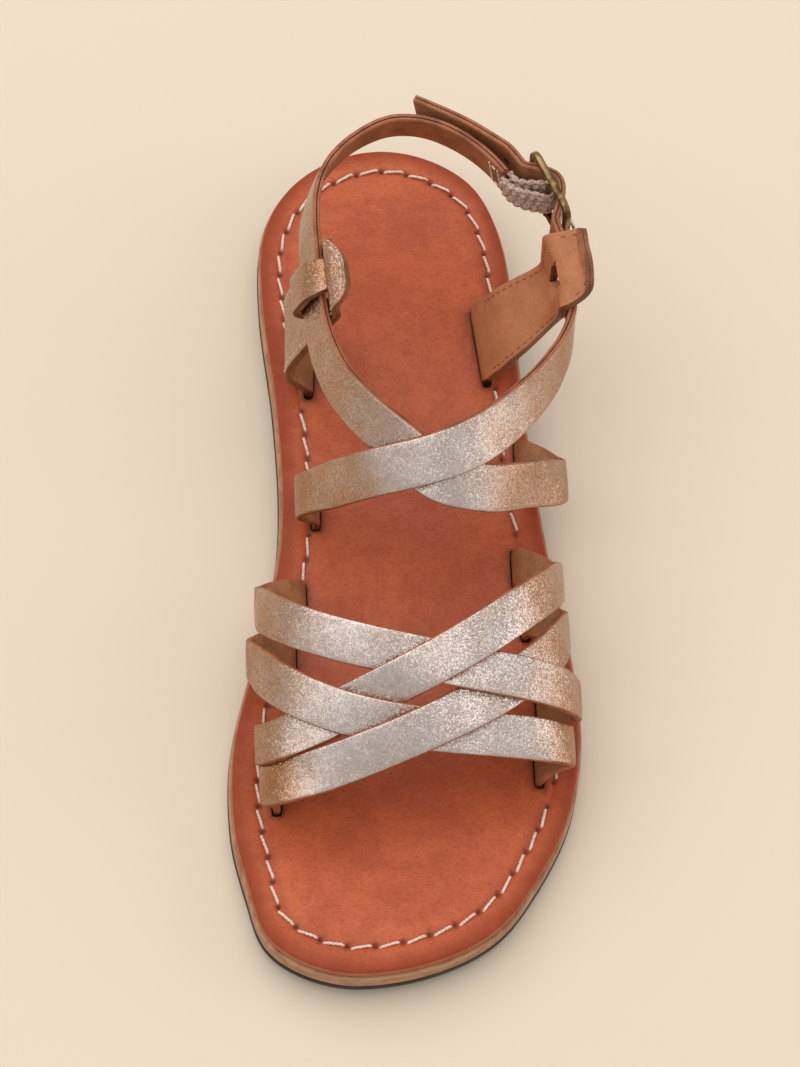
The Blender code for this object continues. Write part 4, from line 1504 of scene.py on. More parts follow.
@dataclass(frozen=True)
class ToeStraps:
    """Four straps woven over the toes."""
    bench: Bench
    form: SoleForm
    width: float = 8.8
    thick: float = 1.8
    shown_thick: float = 1.5
    fold_height: float = 9.0
    rows: int = 13
    # Along the foot, medial reach, lateral reach and crown of the last under the straps
    last: tuple[tuple[float, float, float, float], ...] = (
        (-75, 28.0, 28.6, 21.5), (-58, 30.0, 31.4, 30.5), (-44, 31.0, 34.4, 37.0),
        (-30, 31.4, 33.2, 43.0), (-16, 28.4, 32.2, 48.5))
    lines: tuple[ToeLine, ...] = (
        ToeLine("back_medial", (-20.5, -15.5), -19.5, (28.2, -41.5), -42.5, 10.0, 0.5,
                (Crease(0.13, 0.18, 1.3), Crease(0.17, 0.12, 1.0, 0.1), Crease(0.86, 0.15, 1.2, -0.1))),
        ToeLine("mid_medial", (-23.0, -27.0), -31.0, (27.0, -53.2), -52.3, 12.0, 0.55,
                (Crease(0.12, 0.15, 1.2), Crease(0.2, 0.1, 1.1, 0.15), Crease(0.9, 0.15, 1.2))),
        ToeLine("mid_lateral", (-25.5, -47.5), -50.5, (24.8, -9.0), -15.5, 10.0, -0.2,
                (Crease(0.1, 0.15, 1.2), Crease(0.8, 0.12, 1.1, 0.2), Crease(0.87, 0.18, 1.3))),
        ToeLine("front_medial", (-27.0, -58.2), -59.2, (26.0, -20.5), -26.0, 11.6, -0.35,
                (Crease(0.1, 0.18, 1.2), Crease(0.84, 0.12, 1.1, -0.1), Crease(0.89, 0.15, 1.2))))
    order: tuple[tuple[int, int], ...] = ((2, 0), (1, 2), (3, 1), (0, 3))

    def slits(self) -> list[Slit]:
        """The footbed slits of all four straps."""
        return [Slit(place, (0, 1, 0), self.width, self.thick)
                for line in self.lines for place in (line.medial_slit, line.lateral_slit)]

    def last_point(self, angle: Array, y: Array) -> Array:
        """A point on the last: half an ellipse from the inner fold over the crown to the outer fold.

        Args:
            angle: From pi at the inner fold to 0 at the outer one.
            y: Places along the foot.

        Returns:
            Points.
        """
        table = np.array(self.last)
        medial, lateral, crown = through(table[:, 0], table[:, 1:], y).T
        fold = self.form.footbed_top(y) + self.fold_height
        x = (lateral - medial) / 2 + (medial + lateral) / 2 * np.cos(angle)
        return np.stack((x, y, fold + (crown - fold) * np.sin(angle)), -1)

    def route(self, line: ToeLine) -> Route:
        """A strap's route: up out of one slit, over the last and down into the other.

        Args:
            line: The strap's place.

        Returns:
            The route.
        """
        angle = np.linspace(math.pi, 0, self.rows)
        share = (1 + np.cos(angle)) / 2
        y = line.medial_along * (1 - share) + line.lateral_along * share
        y = y - line.bow * np.sin(angle) * (1 - line.skew * np.cos(angle))
        points = self.last_point(angle, y)
        forward = self.last_point(angle, y + 0.5) - points
        sideways = self.last_point(angle - 0.01, y) - points
        face = unit(np.cross(sideways, forward))
        sides = unit(np.cross(face, np.gradient(points, axis=0)))
        rise = SlitRise(self.form)
        medial, lateral = rise.rows(line.medial_slit), rise.rows(line.lateral_slit)
        medial.append(rise.swell(medial[-1], points[0]))
        lateral.append(rise.swell(lateral[-1], points[-1]))
        level = [(0, 1, 0)] * len(medial)
        return Route(medial + points.tolist() + lateral[::-1], level + sides.tolist() + level)

    def build(self) -> None:
        """All four straps, over and under each other."""
        section = StrapSection(self.width, self.shown_thick)
        straps = [Strap(self.bench, "toe_strap_" + line.name, "toe_straps", self.route(line), section,
                        line.creases) for line in self.lines]
        Settling().run(straps, self.order)
        for strap in straps:
            strap.build()
            strap.fit()


RouteRow = tuple[float, float, float, Triple]


@dataclass
class AnkleStraps:
    """The buckled strap over the instep and the heel strap that crosses under it."""
    bench: Bench
    form: SoleForm
    width: float = 9.8
    thick: float = 2.0
    shown_thick: float = 1.7
    entry_slit: Pair = (-17.2, 5.5)
    heel_slit: Pair = (26.6, 14.5)
    # Point and width direction of each row
    buckled_rows: tuple[RouteRow, ...] = (
        (-20.8, 3.8, 19.5, (0.05, 1, -0.1)), (-14.5, 0.2, 33.0, (0, 0.87, 0.5)),
        (-5.7, -2.0, 43.0, (-0.1, 0.86, 0.5)), (3.3, -1.5, 47.0, (-0.2, 0.8, 0.55)),
        (12.9, 2.5, 47.0, (-0.35, 0.65, 0.67)), (22.3, 9.8, 45.0, (-0.45, 0.45, 0.77)),
        (29.5, 17.9, 44.0, (-0.36, 0.22, 0.89)), (34.0, 25.7, 44.3, (-0.16, 0.1, 0.95)),
        (35.6, 32.5, 45.6, (-0.02, 0.06, 0.99)), (34.7, 39.5, 47.2, (-0.06, 0.1, 1)),
        (34.7, 46.0, 48.2, (-0.05, 0.05, 1)), (35.3, 51.8, 48.8, (-0.05, 0, 1)),
        (32.4, 58.8, 49.0, (-0.05, 0, 1)), (29.3, 66.1, 48.5, (-0.05, -0.02, 1)),
        (25.0, 69.1, 47.8, (-0.05, -0.05, 1)), (22.0, 71.9, 47.2, (-0.06, -0.06, 1)),
        (17.1, 76.0, 46.6, (-0.05, -0.07, 1)), (11.6, 79.5, 46.3, (-0.04, -0.08, 1)),
        (6.0, 82.6, 46.0, (-0.04, -0.08, 1)))
    heel_rows: tuple[RouteRow, ...] = (
        (34.6, 8.0, 19.0, (-0.02, 1, 0.08)), (26.3, 0.0, 32.5, (0.18, 0.87, 0.46)),
        (15.8, -5.2, 41.5, (0.2, 0.85, 0.5)), (7.0, -4.8, 45.2, (0.3, 0.77, 0.55)),
        (-2.4, 3.8, 46.0, (0.4, 0.55, 0.7)), (-8.3, 10.7, 45.3, (0.45, 0.35, 0.8)),
        (-13.2, 18.1, 44.8, (0.4, 0.2, 0.88)), (-16.0, 25.9, 45.2, (0.35, 0.1, 0.93)),
        (-17.2, 32.5, 46.2, (0.32, 0, 0.95)), (-17.7, 39.5, 47.0, (0.3, 0, 0.95)),
        (-18.0, 46.1, 47.4, (0.3, 0, 0.95)), (-18.0, 53.0, 47.5, (0.28, -0.02, 0.96)),
        (-17.0, 60.5, 47.2, (0.2, -0.06, 0.97)), (-13.6, 68.4, 46.6, (0.17, -0.1, 0.98)),
        (-7.0, 75.0, 46.5, (0.1, -0.2, 0.98)), (0.2, 78.4, 46.4, (0, -0.22, 0.98)),
        (7.0, 78.2, 46.2, (-0.03, -0.22, 0.98)), (13.1, 75.5, 46.2, (-0.1, -0.16, 0.98)),
        (18.7, 70.9, 46.4, (-0.13, -0.12, 0.98)), (21.3, 67.9, 46.5, (-0.13, -0.1, 0.99)),
        (22.8, 65.5, 46.8, (-0.12, -0.08, 0.99)))
    buckle_along: float = 58.8
    # Distances of the size holes from the buckle's middle, along the strap
    size_holes: tuple[float, ...] = (-17.5, 13.5, 20.5)
    hole_radius: float = 0.85
    # Middle of the prong's slot before the buckle's middle, its half length, and the cut's half depth
    pin_back: float = 3.4
    pin_slot: float = 3.0
    cut_depth: float = 2.4
    end_spare: float = 2.2
    # Room at the end bars, stretch over which the strap bends to them, its rise over the middle bar
    bar_room: float = 0.6
    bar_bend: float = 5.5
    over_bar: Pair = (2.4, 2.45)
    over_run: float = 1.2
    buckled: Route = field(init=False)
    heel: Route = field(init=False)
    middle: float = field(init=False)

    def __post_init__(self) -> None:
        """Lay the two routes and find the buckle's middle."""
        rise = SlitRise(self.form)

        def lay(slit: Pair, rows: tuple[RouteRow, ...], hand: int) -> Route:
            """Route up out of a slit and through its rows."""
            points = rise.rows(slit) + [row[:3] for row in rows]
            return Route(points, [(0, 1, 0)] * 3 + [row[3] for row in rows], hand)

        self.buckled = lay(self.entry_slit, self.buckled_rows, 1)
        self.heel = lay(self.heel_slit, self.heel_rows, -1)
        self.middle = self.buckled.at_y(self.buckle_along)

    def slits(self) -> list[Slit]:
        """The footbed slits of both straps."""
        return [Slit(place, (0, 1, 0), self.width, self.thick)
                for place in (self.entry_slit, self.heel_slit)]

    def heel_shown(self) -> Route:
        """The heel strap with its end carried on a little, over the elastic.

        Returns:
            The route.
        """
        heel = self.heel
        points = np.vstack((heel.points, heel.points[-1] + heel.along[-1] * self.end_spare))
        sides = np.vstack((heel.side, heel.side[-1:]))
        return Route(points, sides, heel.hand, 3.0, np.append(heel.at, heel.at[-1] + self.end_spare))

    def threaded(self, buckle: "Buckle") -> Route:
        """The buckled strap inside the buckle's end bars and out over its middle bar.

        Args:
            buckle: Sets the bars' places.

        Returns:
            The route.
        """
        route = self.buckled.refined(1.5)
        bar = (buckle.length - buckle.bar) / 2
        dip = -(buckle.thick / 2 + self.bar_room + self.thick / 2)
        knots = (-bar - self.bar_bend, -bar, 0.0, self.over_run,
                 bar - self.bar_room, bar + self.bar_bend)
        heights = (0.0, dip, *self.over_bar, dip, 0.0)
        route.lift(through(knots, heights, route.at - self.middle))
        return route

    def build(self, buckle: "Buckle") -> None:
        """Both straps, with the prong's hole, the size holes and the stitched end.

        Args:
            buckle: Sets the buckled strap's path and the prong's hole.
        """
        section = StrapSection(self.width, self.shown_thick, groove=0.22)
        heel = Strap(self.bench, "ankle_strap_heel", "ankle_straps", self.heel_shown(), section,
                     (Crease(0.62, 0.1, 2.0, 0.1), Crease(0.7, 0.1, 1.8, -0.1)), slits=1)
        route = self.threaded(buckle)
        strap = Strap(self.bench, "ankle_strap_buckled", "ankle_straps", route, section,
                      (Crease(0.47, 0.1, 1.6, 0.1), Crease(0.54, 0.1, 1.6, -0.1)),
                      tail_slant=0.12, slits=1)
        Settling().run([strap, heel], ((0, 1),))
        heel.build()
        heel.fit()
        self.stitched_end()
        strap.build()
        spots = np.append(self.middle + np.array(self.size_holes), self.middle - self.pin_back)
        centres, along, _, face = route.place(spots)
        radius = np.append(np.full(len(self.size_holes), self.hole_radius), self.pin_slot)
        narrow = np.full(len(spots), self.hole_radius)
        sizes = np.column_stack((radius, narrow, np.full(len(spots), self.cut_depth)))
        # The holes' walls take the dark seam finish: painted shade inside the holes
        self.bench.cut(strap.piece, *prisms(centres, along, face, sizes, 1.0), zone=Zone.SEAM)
        strap.fit()

    def stitched_end(self) -> None:
        """A box of small stitches that holds the elastic in the heel strap's end."""
        line = self.heel_shown()
        end = line.at[-1]
        half = self.width / 2 - 1.7
        count = 5
        seam = np.linspace(-half, half, count)
        across = np.concatenate((seam, seam, (-half, half)))
        back = np.concatenate((np.full(count, 1.6), np.full(count, 4.6), (3.1, 3.1)))
        centres, along, side, face = line.place(end - back)
        centres = centres + side * across[:, None]
        runs = np.where((np.arange(len(back)) < 2 * count)[:, None], side, along)
        row = StitchRow(length=1.5, radius=0.2, lift=0.08, dive=0.3, rows=9, sides=8)
        away = self.shown_thick / 2 + 0.04
        both = np.vstack((centres + face * away, centres - face * away))
        row.sew(self.bench, "heel_strap_stitches", "ankle_straps", THREAD,
                both, np.vstack((runs, runs)), np.vstack((face, -face)))


# Tabs


@dataclass(frozen=True)
class AnkleTab:
    """A side tab that holds an ankle strap: margins inside the strap, a bridge outside it."""
    bench: Bench
    node: str
    form: SoleForm
    along: float
    slit: Pair
    slit_turn: Triple
    belly: Triple
    head: Triple
    curl: float
    lean: float
    waist: float
    width: float
    slit_place: float
    lining: Finish
    # Slit above the strap, how far of it is open, and how square the bridge's arch is
    spare_high: float
    slit_top: float
    arch: float
    base: float = 18.6
    thick: float = 1.9
    layer: float = 0.86
    rounding: float = 8.0
    slit_wide: float = 0.05
    spare_low: float = 2.4
    top_share: float = 0.965
    neck: float = 0.14
    neck_length: float = 4.5
    # Middle of the waist below the slit, and its reach
    waist_below: float = 3.0
    waist_reach: float = 7.0
    bridge_spread: float = 0.14
    bridge_dome: float = 0.25
    strap_room: float = 0.22
    press_share: float = 0.75
    head_flat: float = 3.0
    # Rows from the footbed to the slit, along the slit, and above it
    rows: tuple[int, int, int] = (34, 36, 22)
    side_columns: int = 10
    bridge_columns: int = 17
    # Share of painted side shade on the tab's foil, all over
    side_shade_share: float = 0.85
    edge_round: float = 0.22
    stitch_start: float = 5.0
    stitch_margin: float = 1.05
    stitch_pitch: float = 1.9
    stitch_length: float = 1.35

    def footbed_slit(self) -> Slit:
        """The slit that the tab goes down."""
        return Slit(self.slit, self.slit_turn, self.base, self.thick)

    def build(self, strap: Route, strap_width: float, strap_thick: float) -> None:
        """Outer layer, lining and edge stitches of the tab.

        The middle surface follows a spine up from the footbed. Across it, rows bend from the slit's
        straight line to the strap's own curve. Near the strap the margins are pressed in and the
        bridge is pushed out by the room that the strap needs.

        Args:
            strap: The strap that the tab holds.
            strap_width: That strap's width.
            strap_thick: Its thickness.
        """
        middle = strap.at_y(self.along)
        centre, along, up, _ = strap.place(middle)
        half_strap = strap_width / 2
        low, high = half_strap + self.spare_low, half_strap + self.spare_high
        points = SlitRise(self.form).rows(self.slit) + [self.belly]
        points += [tuple(centre + up * step) for step in (-low, -half_strap, 0, half_strap, high)]
        points.append(tuple(np.array(points[-1]) + np.array(self.head)))
        knots = lengths(np.array(points))
        held = knots[-4]
        low_rows, slit_rows, head_rows = self.rows
        crown = 1 - np.linspace(1, 0, head_rows) ** 1.8
        at = np.unique(np.concatenate((
            np.linspace(0, held - low, low_rows), held + np.linspace(-low, high, slit_rows),
            held + high + crown * (knots[-1] - held - high))))
        spine = through(knots, points, at)
        blend = ease((at - knots[2]) / (held - low - knots[2]))[:, None, None]
        width = self.base + (self.width - self.base) * blend[:, 0, 0]
        close = self.top_share * np.clip((at - knots[-1]) / self.rounding + 1, 0, 1)
        neck = self.neck * (1 - ease((at - knots[1]) / self.neck_length))
        width = width * np.sqrt(1 - close ** 2) * (1 - neck)
        near, far = self.slit_place - self.slit_wide / 2, self.slit_place + self.slit_wide / 2
        outer = np.linspace(far, 1, self.side_columns)
        u = np.concatenate((-outer[::-1], np.linspace(-near, near, self.bridge_columns), outer))
        above = at - held
        swell = 1 - np.clip(np.abs(above) / np.where(above < 0, low, high), 0, 1)[:, None] ** self.arch
        swell = swell * (np.abs(u) < self.slit_place)
        waist = bell(above + low + self.waist_below, self.waist_reach)[:, None]
        drawn = 1 - self.waist * waist * (u < 0)
        drawn = drawn * (1 + self.bridge_spread * swell)
        across = u[None, :] * drawn * width[:, None] / 2
        straight = unit(self.slit_turn) * across[:, :, None]
        backward = np.sign(np.dot(along, self.slit_turn))
        place, _, side, face = strap.place(middle + across * backward)
        rise = np.clip(above, -low, high)[:, None, None]
        bent = place - centre + (side - up) * rise
        grid = spine[:, None, :] + straight * (1 - blend) + bent * blend
        clear = (strap_thick + 2 * self.layer) / 2 + self.strap_room
        beyond = np.clip((u - self.slit_place) / (1 - self.slit_place), 0, 1)
        inside = -clear - self.curl * beyond ** 1.5
        head = knots[-1] - held - half_strap - self.head_flat
        over = ease((at - held - half_strap) / head)[:, None]
        pressed = ease((at - knots[2]) / (held - low - knots[2]) / self.press_share)[:, None]
        shift = pressed * (inside * (1 - over) + self.lean * over)
        shift = shift + swell * 2 * clear * (1 + self.bridge_dome)
        grid = grid + face * shift[:, :, None]
        between = (above[:-1] + above[1:]) / 2
        open_row = (between > -low) & (between < half_strap + self.slit_top)
        open_column = np.abs(np.abs((u[:-1] + u[1:]) / 2) - self.slit_place) < self.slit_wide / 4
        keep = ~(open_row[:, None] & open_column[None, :]).ravel()
        patch = Patch(grid, face)
        self.sheets(grid, patch, keep)
        self.edge_stitches(patch, at, width, u, knots[2] + self.stitch_start)

    def sheets(self, grid: Array, patch: Patch, keep: Array) -> None:
        """The outer layer and the lining, thickened to either side of the middle surface.

        Args:
            grid: Points of the middle surface.
            patch: Its normals and the hand of its faces.
            keep: Faces that aren't in the slits.
        """
        faces = quads(*grid.shape[:2], ring=False)[keep]
        if patch.hand > 0:
            faces = faces[:, ::-1]
        normals = patch.rows[..., 3:]
        run = np.stack(np.indices(grid.shape[:2]), -1).reshape(-1, 2)[faces] * MM * 0.4
        for name, sign, finish in (("outer", 1, FOIL), ("lining", -1, self.lining)):
            points = (grid + normals * 0.05 * sign).reshape(-1, 3)
            piece = self.bench.mesh(f"{self.node}_{name}", points, faces, run=run, closed=False)
            # The tab faces the side, so all its foil takes painted side shade
            self.bench.store(piece.data, "fold", np.full(len(piece.data.vertices), self.side_shade_share))
            wall = piece.modifiers.new("Wall", "SOLIDIFY")
            wall.thickness = self.layer * MM
            wall.offset = float(sign)
            wall.material_offset_rim = 1
            edge = piece.modifiers.new("Rounding", "BEVEL")
            edge.width = self.edge_round * MM
            edge.segments = 2
            edge.limit_method = "ANGLE"
            edge.angle_limit = math.radians(50)
            self.bench.fit(piece, self.node, finish, TAB_EDGE)

    def edge_stitches(self, patch: Patch, at: Array, width: Array, u: Array, start: float) -> None:
        """Small stitches that run round the tab's border, seen on both its faces.

        The border is the outline in the plane of the sheet, moved in by the stitch margin along its
        normal, and read back on the sheet.

        Args:
            patch: The tab's middle surface.
            at: Heights of its rows.
            width: Width of its rows.
            u: Places of its columns, from -1 to 1.
            start: Height where the stitches start.
        """
        margin = self.stitch_margin
        left = np.column_stack((at, -width / 2))
        outline = np.vstack((left, (left * (1, -1))[::-1]))
        slope = unit(np.gradient(outline, axis=0))
        border = outline + np.column_stack((-slope[:, 1], slope[:, 0])) * margin
        border = border[(border[:, 0] > start) & (border[:, 0] < at[-1] - margin * 0.7)]
        spots = lengths(border)
        ends = np.arange(0.5, spots[-1] - 1.6, self.stitch_pitch)

        def on_sheet(distance: Array) -> tuple[Array, Array]:
            """Points and normals of the sheet at distances along the border.

            Args:
                distance: The distances.

            Returns:
                Points and normals.
            """
            height, across = (np.interp(distance, spots, axis) for axis in border.T)
            share = across / (np.interp(height, at, width) / 2)
            column = np.interp(share, u, np.arange(len(u)))
            return patch.at(np.interp(height, at, np.arange(len(at))), column)

        first, normal = on_sheet(ends)
        last, _ = on_sheet(ends + self.stitch_length)
        runs = unit(last - first)
        normal = unit(normal - runs * np.sum(normal * runs, axis=1, keepdims=True))
        row = StitchRow(self.stitch_length, radius=0.13, lift=0.02, dive=0.25, rows=9, sides=8)
        for name, sign, finish in (("outer", 1, THREAD), ("inner", -1, BROWN_THREAD)):
            centres = (first + last) / 2 + normal * sign * (self.layer + 0.03)
            row.sew(self.bench, f"{self.node}_{name}_stitches", self.node, finish,
                    centres, runs, normal * sign)


# Buckle


@dataclass(frozen=True)
class Buckle:
    """A centre bar buckle with its prong, and the elastic round its bar, on its strap."""
    bench: Bench
    straps: AnkleStraps
    length: float = 17.4
    height: float = 14.8
    bar: float = 1.7
    thick: float = 1.5
    corner: float = 3.2
    rod: float = 0.55
    rod_in: float = 0.6
    prong_radius: float = 0.42
    overhang: float = 1.9
    ring_room: float = 1.0071
    band_width: float = 7.0
    band_thick: float = 1.7
    band_spread: float = 0.95
    band_lead: float = 2.0
    # How square the frame's section is, points of its corners, and points round each tube
    squareness: float = 0.45
    corner_points: int = 14
    frame_sides: int = 16
    rod_sides: int = 14
    prong_sides: int = 12
    # Prong: room round the bar, turn of its ring in degrees, start, height over the front bar, taper
    prong_room: float = 0.4
    prong_turn: Pair = (-205.0, 95.0)
    prong_start: float = -2.2
    prong_rest: float = 0.3
    prong_taper: float = 0.3
    # Elastic: points across, ribs to each side, a lump's length, shift from rib to rib, slimmer middle
    band_points: int = 57
    ribs: int = 2
    lump: float = 1.9
    lump_shift: float = 0.9
    slim: float = 0.4
    slim_length: float = 4.0

    def on_strap(self, local: Array) -> Array:
        """Points given along the strap, up across it and out from the foot, in the maker's frame."""
        centre, along, up, out = self.straps.buckled.place(self.straps.middle)
        return centre + local @ np.stack((along, up, out))

    def build(self) -> None:
        """Frame, middle bar, prong and elastic."""
        self.frame()
        self.prong()
        self.elastic()

    def frame(self) -> None:
        """A squared ring section carried round a rectangle with round corners, and a round bar."""
        bend = self.corner - self.bar / 2
        wide, tall = (self.length - self.bar) / 2 - bend, (self.height - self.bar) / 2 - bend
        turn = np.linspace(0, math.pi / 2, self.corner_points)
        angle = (np.arange(4)[:, None] * math.pi / 2 + turn).ravel()
        quarters = np.array(((1, 1), (-1, 1), (-1, -1), (1, -1)))
        corner = np.repeat(quarters * (wide, tall), len(turn), axis=0)
        radial = np.column_stack((np.cos(angle), np.sin(angle)))
        path = corner + radial * bend
        ring = oval(self.frame_sides, self.squareness) * (self.bar / 2, self.thick / 2)
        flat = path[:, None] + radial[:, None] * ring[None, :, :1]
        local = np.concatenate((flat, np.broadcast_to(ring[None, :, 1:], (*flat.shape[:2], 1))), axis=2)
        grid = self.on_strap(np.concatenate((local, local[:1])))
        self.bench.fit(self.bench.tube("buckle_ring", grid), "buckle_frame", BRASS)
        reach = np.linspace(-1, 1, 12)[:, None] * (self.height - self.bar) / 2
        spin = turns(self.rod_sides)
        out = self.rod * np.sin(spin) - self.rod_in
        rod = np.stack(np.broadcast_arrays(self.rod * np.cos(spin), reach, out), -1)
        grid = self.on_strap(capped(rod))
        self.bench.fit(self.bench.tube("buckle_bar", grid), "buckle_frame", BRASS)

    def prong(self) -> None:
        """A tapered wire: a ring round the middle bar, then a pin out to the front bar and past it."""
        ring = self.ring_room + self.prong_room
        angle = np.radians(np.linspace(*self.prong_turn, 16))
        loop = np.column_stack((ring * np.cos(angle), 0 * angle, ring * np.sin(angle) - self.rod_in))
        front = -(self.length - self.bar) / 2
        rest = self.thick / 2 + self.prong_rest + self.prong_radius
        start = ring - self.rod_in
        pin = np.array(((self.prong_start, 0, start), (front / 2, 0, (start + rest) / 2),
                        (front, 0, rest), (front - self.overhang, 0, rest - self.prong_rest)))
        points = np.vstack((loop, pin))
        knots = lengths(points)
        at = np.linspace(0, knots[-1], 90)
        line = through(knots, points, at)
        along = unit(np.gradient(line, at, axis=0))
        level = np.broadcast_to((0.0, 1.0, 0.0), along.shape)
        face = np.cross(along, level)
        radius = self.prong_radius * (1 - self.prong_taper * ease((at / at[-1] - 0.75) / 0.25))
        radius = radius * np.sqrt(np.clip(1 - (at / at[-1]) ** 60, 0.02, 1))
        spin = turns(self.prong_sides)[None, :, None]
        ring = np.cos(spin) * level[:, None] + np.sin(spin) * face[:, None]
        tube = line[:, None] + radius[:, None, None] * ring
        grid = self.on_strap(capped(tube))
        # The prong wears the paler brass as a painted highlight
        self.bench.fit(self.bench.tube("buckle_pin", grid), "buckle_prong", PAINTED_GLINT_BRASS)

    def elastic(self) -> None:
        """A ribbed band from the heel strap's end round the middle bar and back.

        The band's faces swell by ribs along it, a cosine across, and by small lumps along each rib.
        """
        bar, _, up, out = self.straps.buckled.place(self.straps.middle)
        bar = bar - out * self.rod_in
        heel = self.straps.heel_shown()
        end = heel.points[-1] + heel.along[-1] * 0.05
        ring = self.ring_room + self.band_thick * 0.3
        toward = unit(bar - end)
        away = unit(np.cross(toward, up))
        angle = np.linspace(-math.pi / 2, math.pi / 2, 9)
        nose = bar + ring * (np.cos(angle)[:, None] * toward + np.sin(angle)[:, None] * away)
        spread = heel.face[-1] * self.band_spread * (1 if np.dot(away, heel.face[-1]) > 0 else -1)
        lead = heel.along[-1] * self.band_lead
        points = [end - spread, end - spread + lead, *nose, end + spread + lead, end + spread]
        sides = [heel.side[-1]] * 2 + [up] * len(nose) + [heel.side[-1]] * 2
        line = Route(points, sides, step=0.2)
        wide = np.linspace(-1, 1, self.band_points)
        rib = np.abs(np.cos(wide * math.pi * self.ribs)) ** 0.7
        shift = np.round(wide * self.ribs) * math.pi * self.lump_shift
        turn = line.at[:, None] * 2 * math.pi / self.lump + shift
        lump = np.abs(np.cos(turn / 2)) ** 0.8
        slim = 1 - self.slim * bell(line.at - line.at[-1] / 2, self.slim_length)[:, None]
        half = self.band_thick / 2 * slim * np.sqrt(1 - 0.97 * wide ** 8) * (0.4 + 0.85 * rib * lump)
        across = np.concatenate((wide, wide[::-1])) * self.band_width / 2
        thick = np.concatenate((half, -half[:, ::-1]), axis=1)
        piece = self.bench.tube("elastic_band", capped(line.spread(across, thick)))
        self.bench.fit(piece, "elastic", WEBBING)


# Studio


@dataclass(frozen=True)
class SoftBox:
    """A square area light: where it stands, in metres, its side and its power."""
    name: str
    stand: Triple
    side: float
    power: float


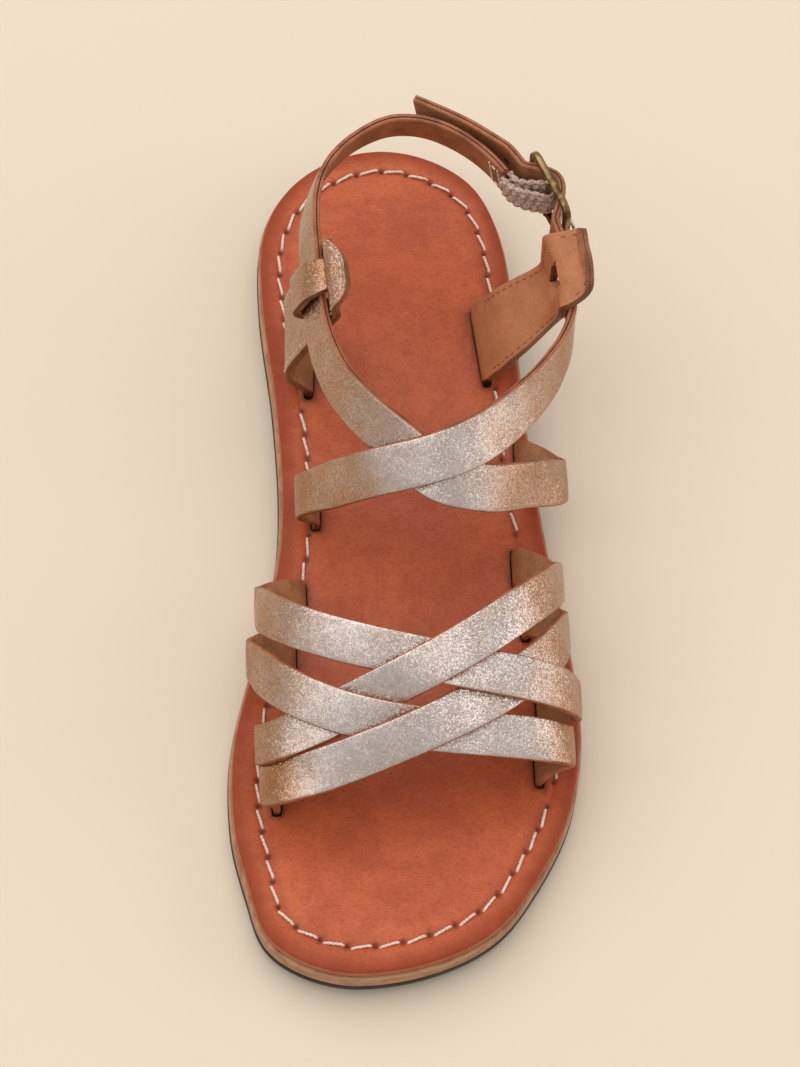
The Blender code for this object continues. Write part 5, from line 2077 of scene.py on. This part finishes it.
@dataclass(frozen=True)
class Studio:
    """Pale floor, soft boxes and the camera at the picture's angle."""
    bench: Bench
    eye: Triple = (-44.55, -293.0, 619.3)
    look: Triple = (-39.7, -8.4, 9.0)
    right: Triple = (0.99985, -0.01705, 0.0)
    subject: Triple = (0.5, -1.0, 12.0)
    lens: float = 108.0
    floor: Triple = rgb(230, 214, 194)
    white: Triple = (1.0, 0.98, 0.95)
    sky_power: float = 0.56
    boxes: tuple[SoftBox, ...] = (
        SoftBox("top_box", (-0.45, 0.3, 1.5), 2.4, 23.0),
        SoftBox("right_box", (1.2, -0.1, 0.34), 0.9, 3.4))

    def build(self) -> None:
        """Set up floor, lights and camera."""
        self.ground()
        self.light()
        self.camera()

    def ground(self) -> None:
        """A wide plain floor at z = 0."""
        half = 4.0
        mesh = bpy.data.meshes.new("studio_floor")
        corners = [(-half, -half, 0), (half, -half, 0), (half, half, 0), (-half, half, 0)]
        mesh.from_pydata(corners, [], [(0, 1, 2, 3)])
        floor = bpy.data.objects.new("studio_floor", mesh)
        bpy.context.scene.collection.objects.link(floor)
        mesh.materials.append(Desk("floor_paint").finish(Base_Color=self.floor, Roughness=0.9))

    def light(self) -> None:
        """An even sky and soft boxes that face the sandal."""
        world = bpy.data.worlds.new("studio_sky")
        world.use_nodes = True
        sky = world.node_tree.nodes["Background"]
        sky.inputs["Color"].default_value = (*self.white, 1)
        sky.inputs["Strength"].default_value = self.sky_power
        bpy.context.scene.world = world
        for box in self.boxes:
            lamp = bpy.data.lights.new(box.name, "AREA")
            lamp.size = box.side
            lamp.energy = box.power
            lamp.color = self.white
            stand = bpy.data.objects.new(box.name, lamp)
            stand.location = box.stand
            stand.rotation_euler = (-Vector(box.stand)).to_track_quat("-Z", "Y").to_euler()
            bpy.context.scene.collection.objects.link(stand)
        bpy.context.scene.view_settings.view_transform = "Standard"

    def camera(self) -> None:
        """A camera where the picture was taken, turned the shortest way from its aim to the sandal."""
        eye, look, subject = (Vector(self.bench.metres(np.array(point)))
                              for point in (self.eye, self.look, self.subject))
        ahead, right = (look - eye).normalized(), Vector(self.right).normalized()
        turn = ahead.rotation_difference(subject - eye)
        axes = Matrix((right, right.cross(ahead), -ahead)).transposed()
        lens = bpy.data.cameras.new("picture_camera")
        lens.lens = self.lens
        lens.clip_start = 0.01
        camera = bpy.data.objects.new("picture_camera", lens)
        camera.matrix_world = Matrix.Translation(eye) @ (turn.to_matrix() @ axes).to_4x4()
        bpy.context.scene.collection.objects.link(camera)
        bpy.context.scene.camera = camera


def main() -> None:
    """Build the sandal piece by piece, set up the studio and note the sizes."""
    logging.basicConfig(level=logging.INFO, format="%(name)s: %(message)s")
    form = SoleForm()
    low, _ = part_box("heel")
    corner = form.low_corner(Heel.inset)
    bench = Bench((low.x / MM - corner[0], low.y / MM - corner[1], 0.0))
    rubber = SoleRubber("dark_rubber")
    SoleLayer(bench, "outsole", form, inset=0.0, low=0.0, high=1.7, rounding=0.4).build(rubber)
    Heel(bench, form).build(rubber)
    SoleLayer(bench, "midsole", form, inset=0.2, low=1.74, high=5.76, rounding=0.4).build(SOLE_EDGE)
    toes = ToeStraps(bench, form)
    straps = AnkleStraps(bench, form)
    buckle = Buckle(bench, straps)
    medial = AnkleTab(
        bench, "medial_tab", form, along=38.2, slit=(-17.4, 39.8), slit_turn=(0.06, 1, 0),
        belly=(-22.8, 39.8, 23.0), head=(4.2, -1.2, 3.0), curl=0.0, lean=0.0, waist=0.0, width=17.0,
        # The medial tab wears the darker brown strap lining as painted shade; the lateral tab's lining
        # is tan
        slit_place=0.4, lining=LINING, spare_high=2.6, slit_top=2.6, arch=4.0)
    lateral = AnkleTab(
        bench, "lateral_tab", form, along=39.5, slit=(19.8, 42.2), slit_turn=(-0.1, 1, 0),
        belly=(24.2, 40.8, 25.0), head=(0.2, 2.4, 6.6), curl=2.0, lean=2.8, waist=0.24, width=15.2,
        slit_place=0.36, lining=TAB_LINING, spare_high=1.2, slit_top=-2.0, arch=8.0)
    slits = toes.slits() + straps.slits() + [medial.footbed_slit(), lateral.footbed_slit()]
    footbed = Footbed(bench, form, slits)
    footbed.build()
    footbed.stitch()
    toes.build()
    straps.build(buckle)
    medial.build(straps.heel, straps.width, straps.shown_thick)
    lateral.build(straps.buckled, straps.width, straps.shown_thick)
    buckle.build()
    Studio(bench).build()


if __name__ == "__main__":
    main()
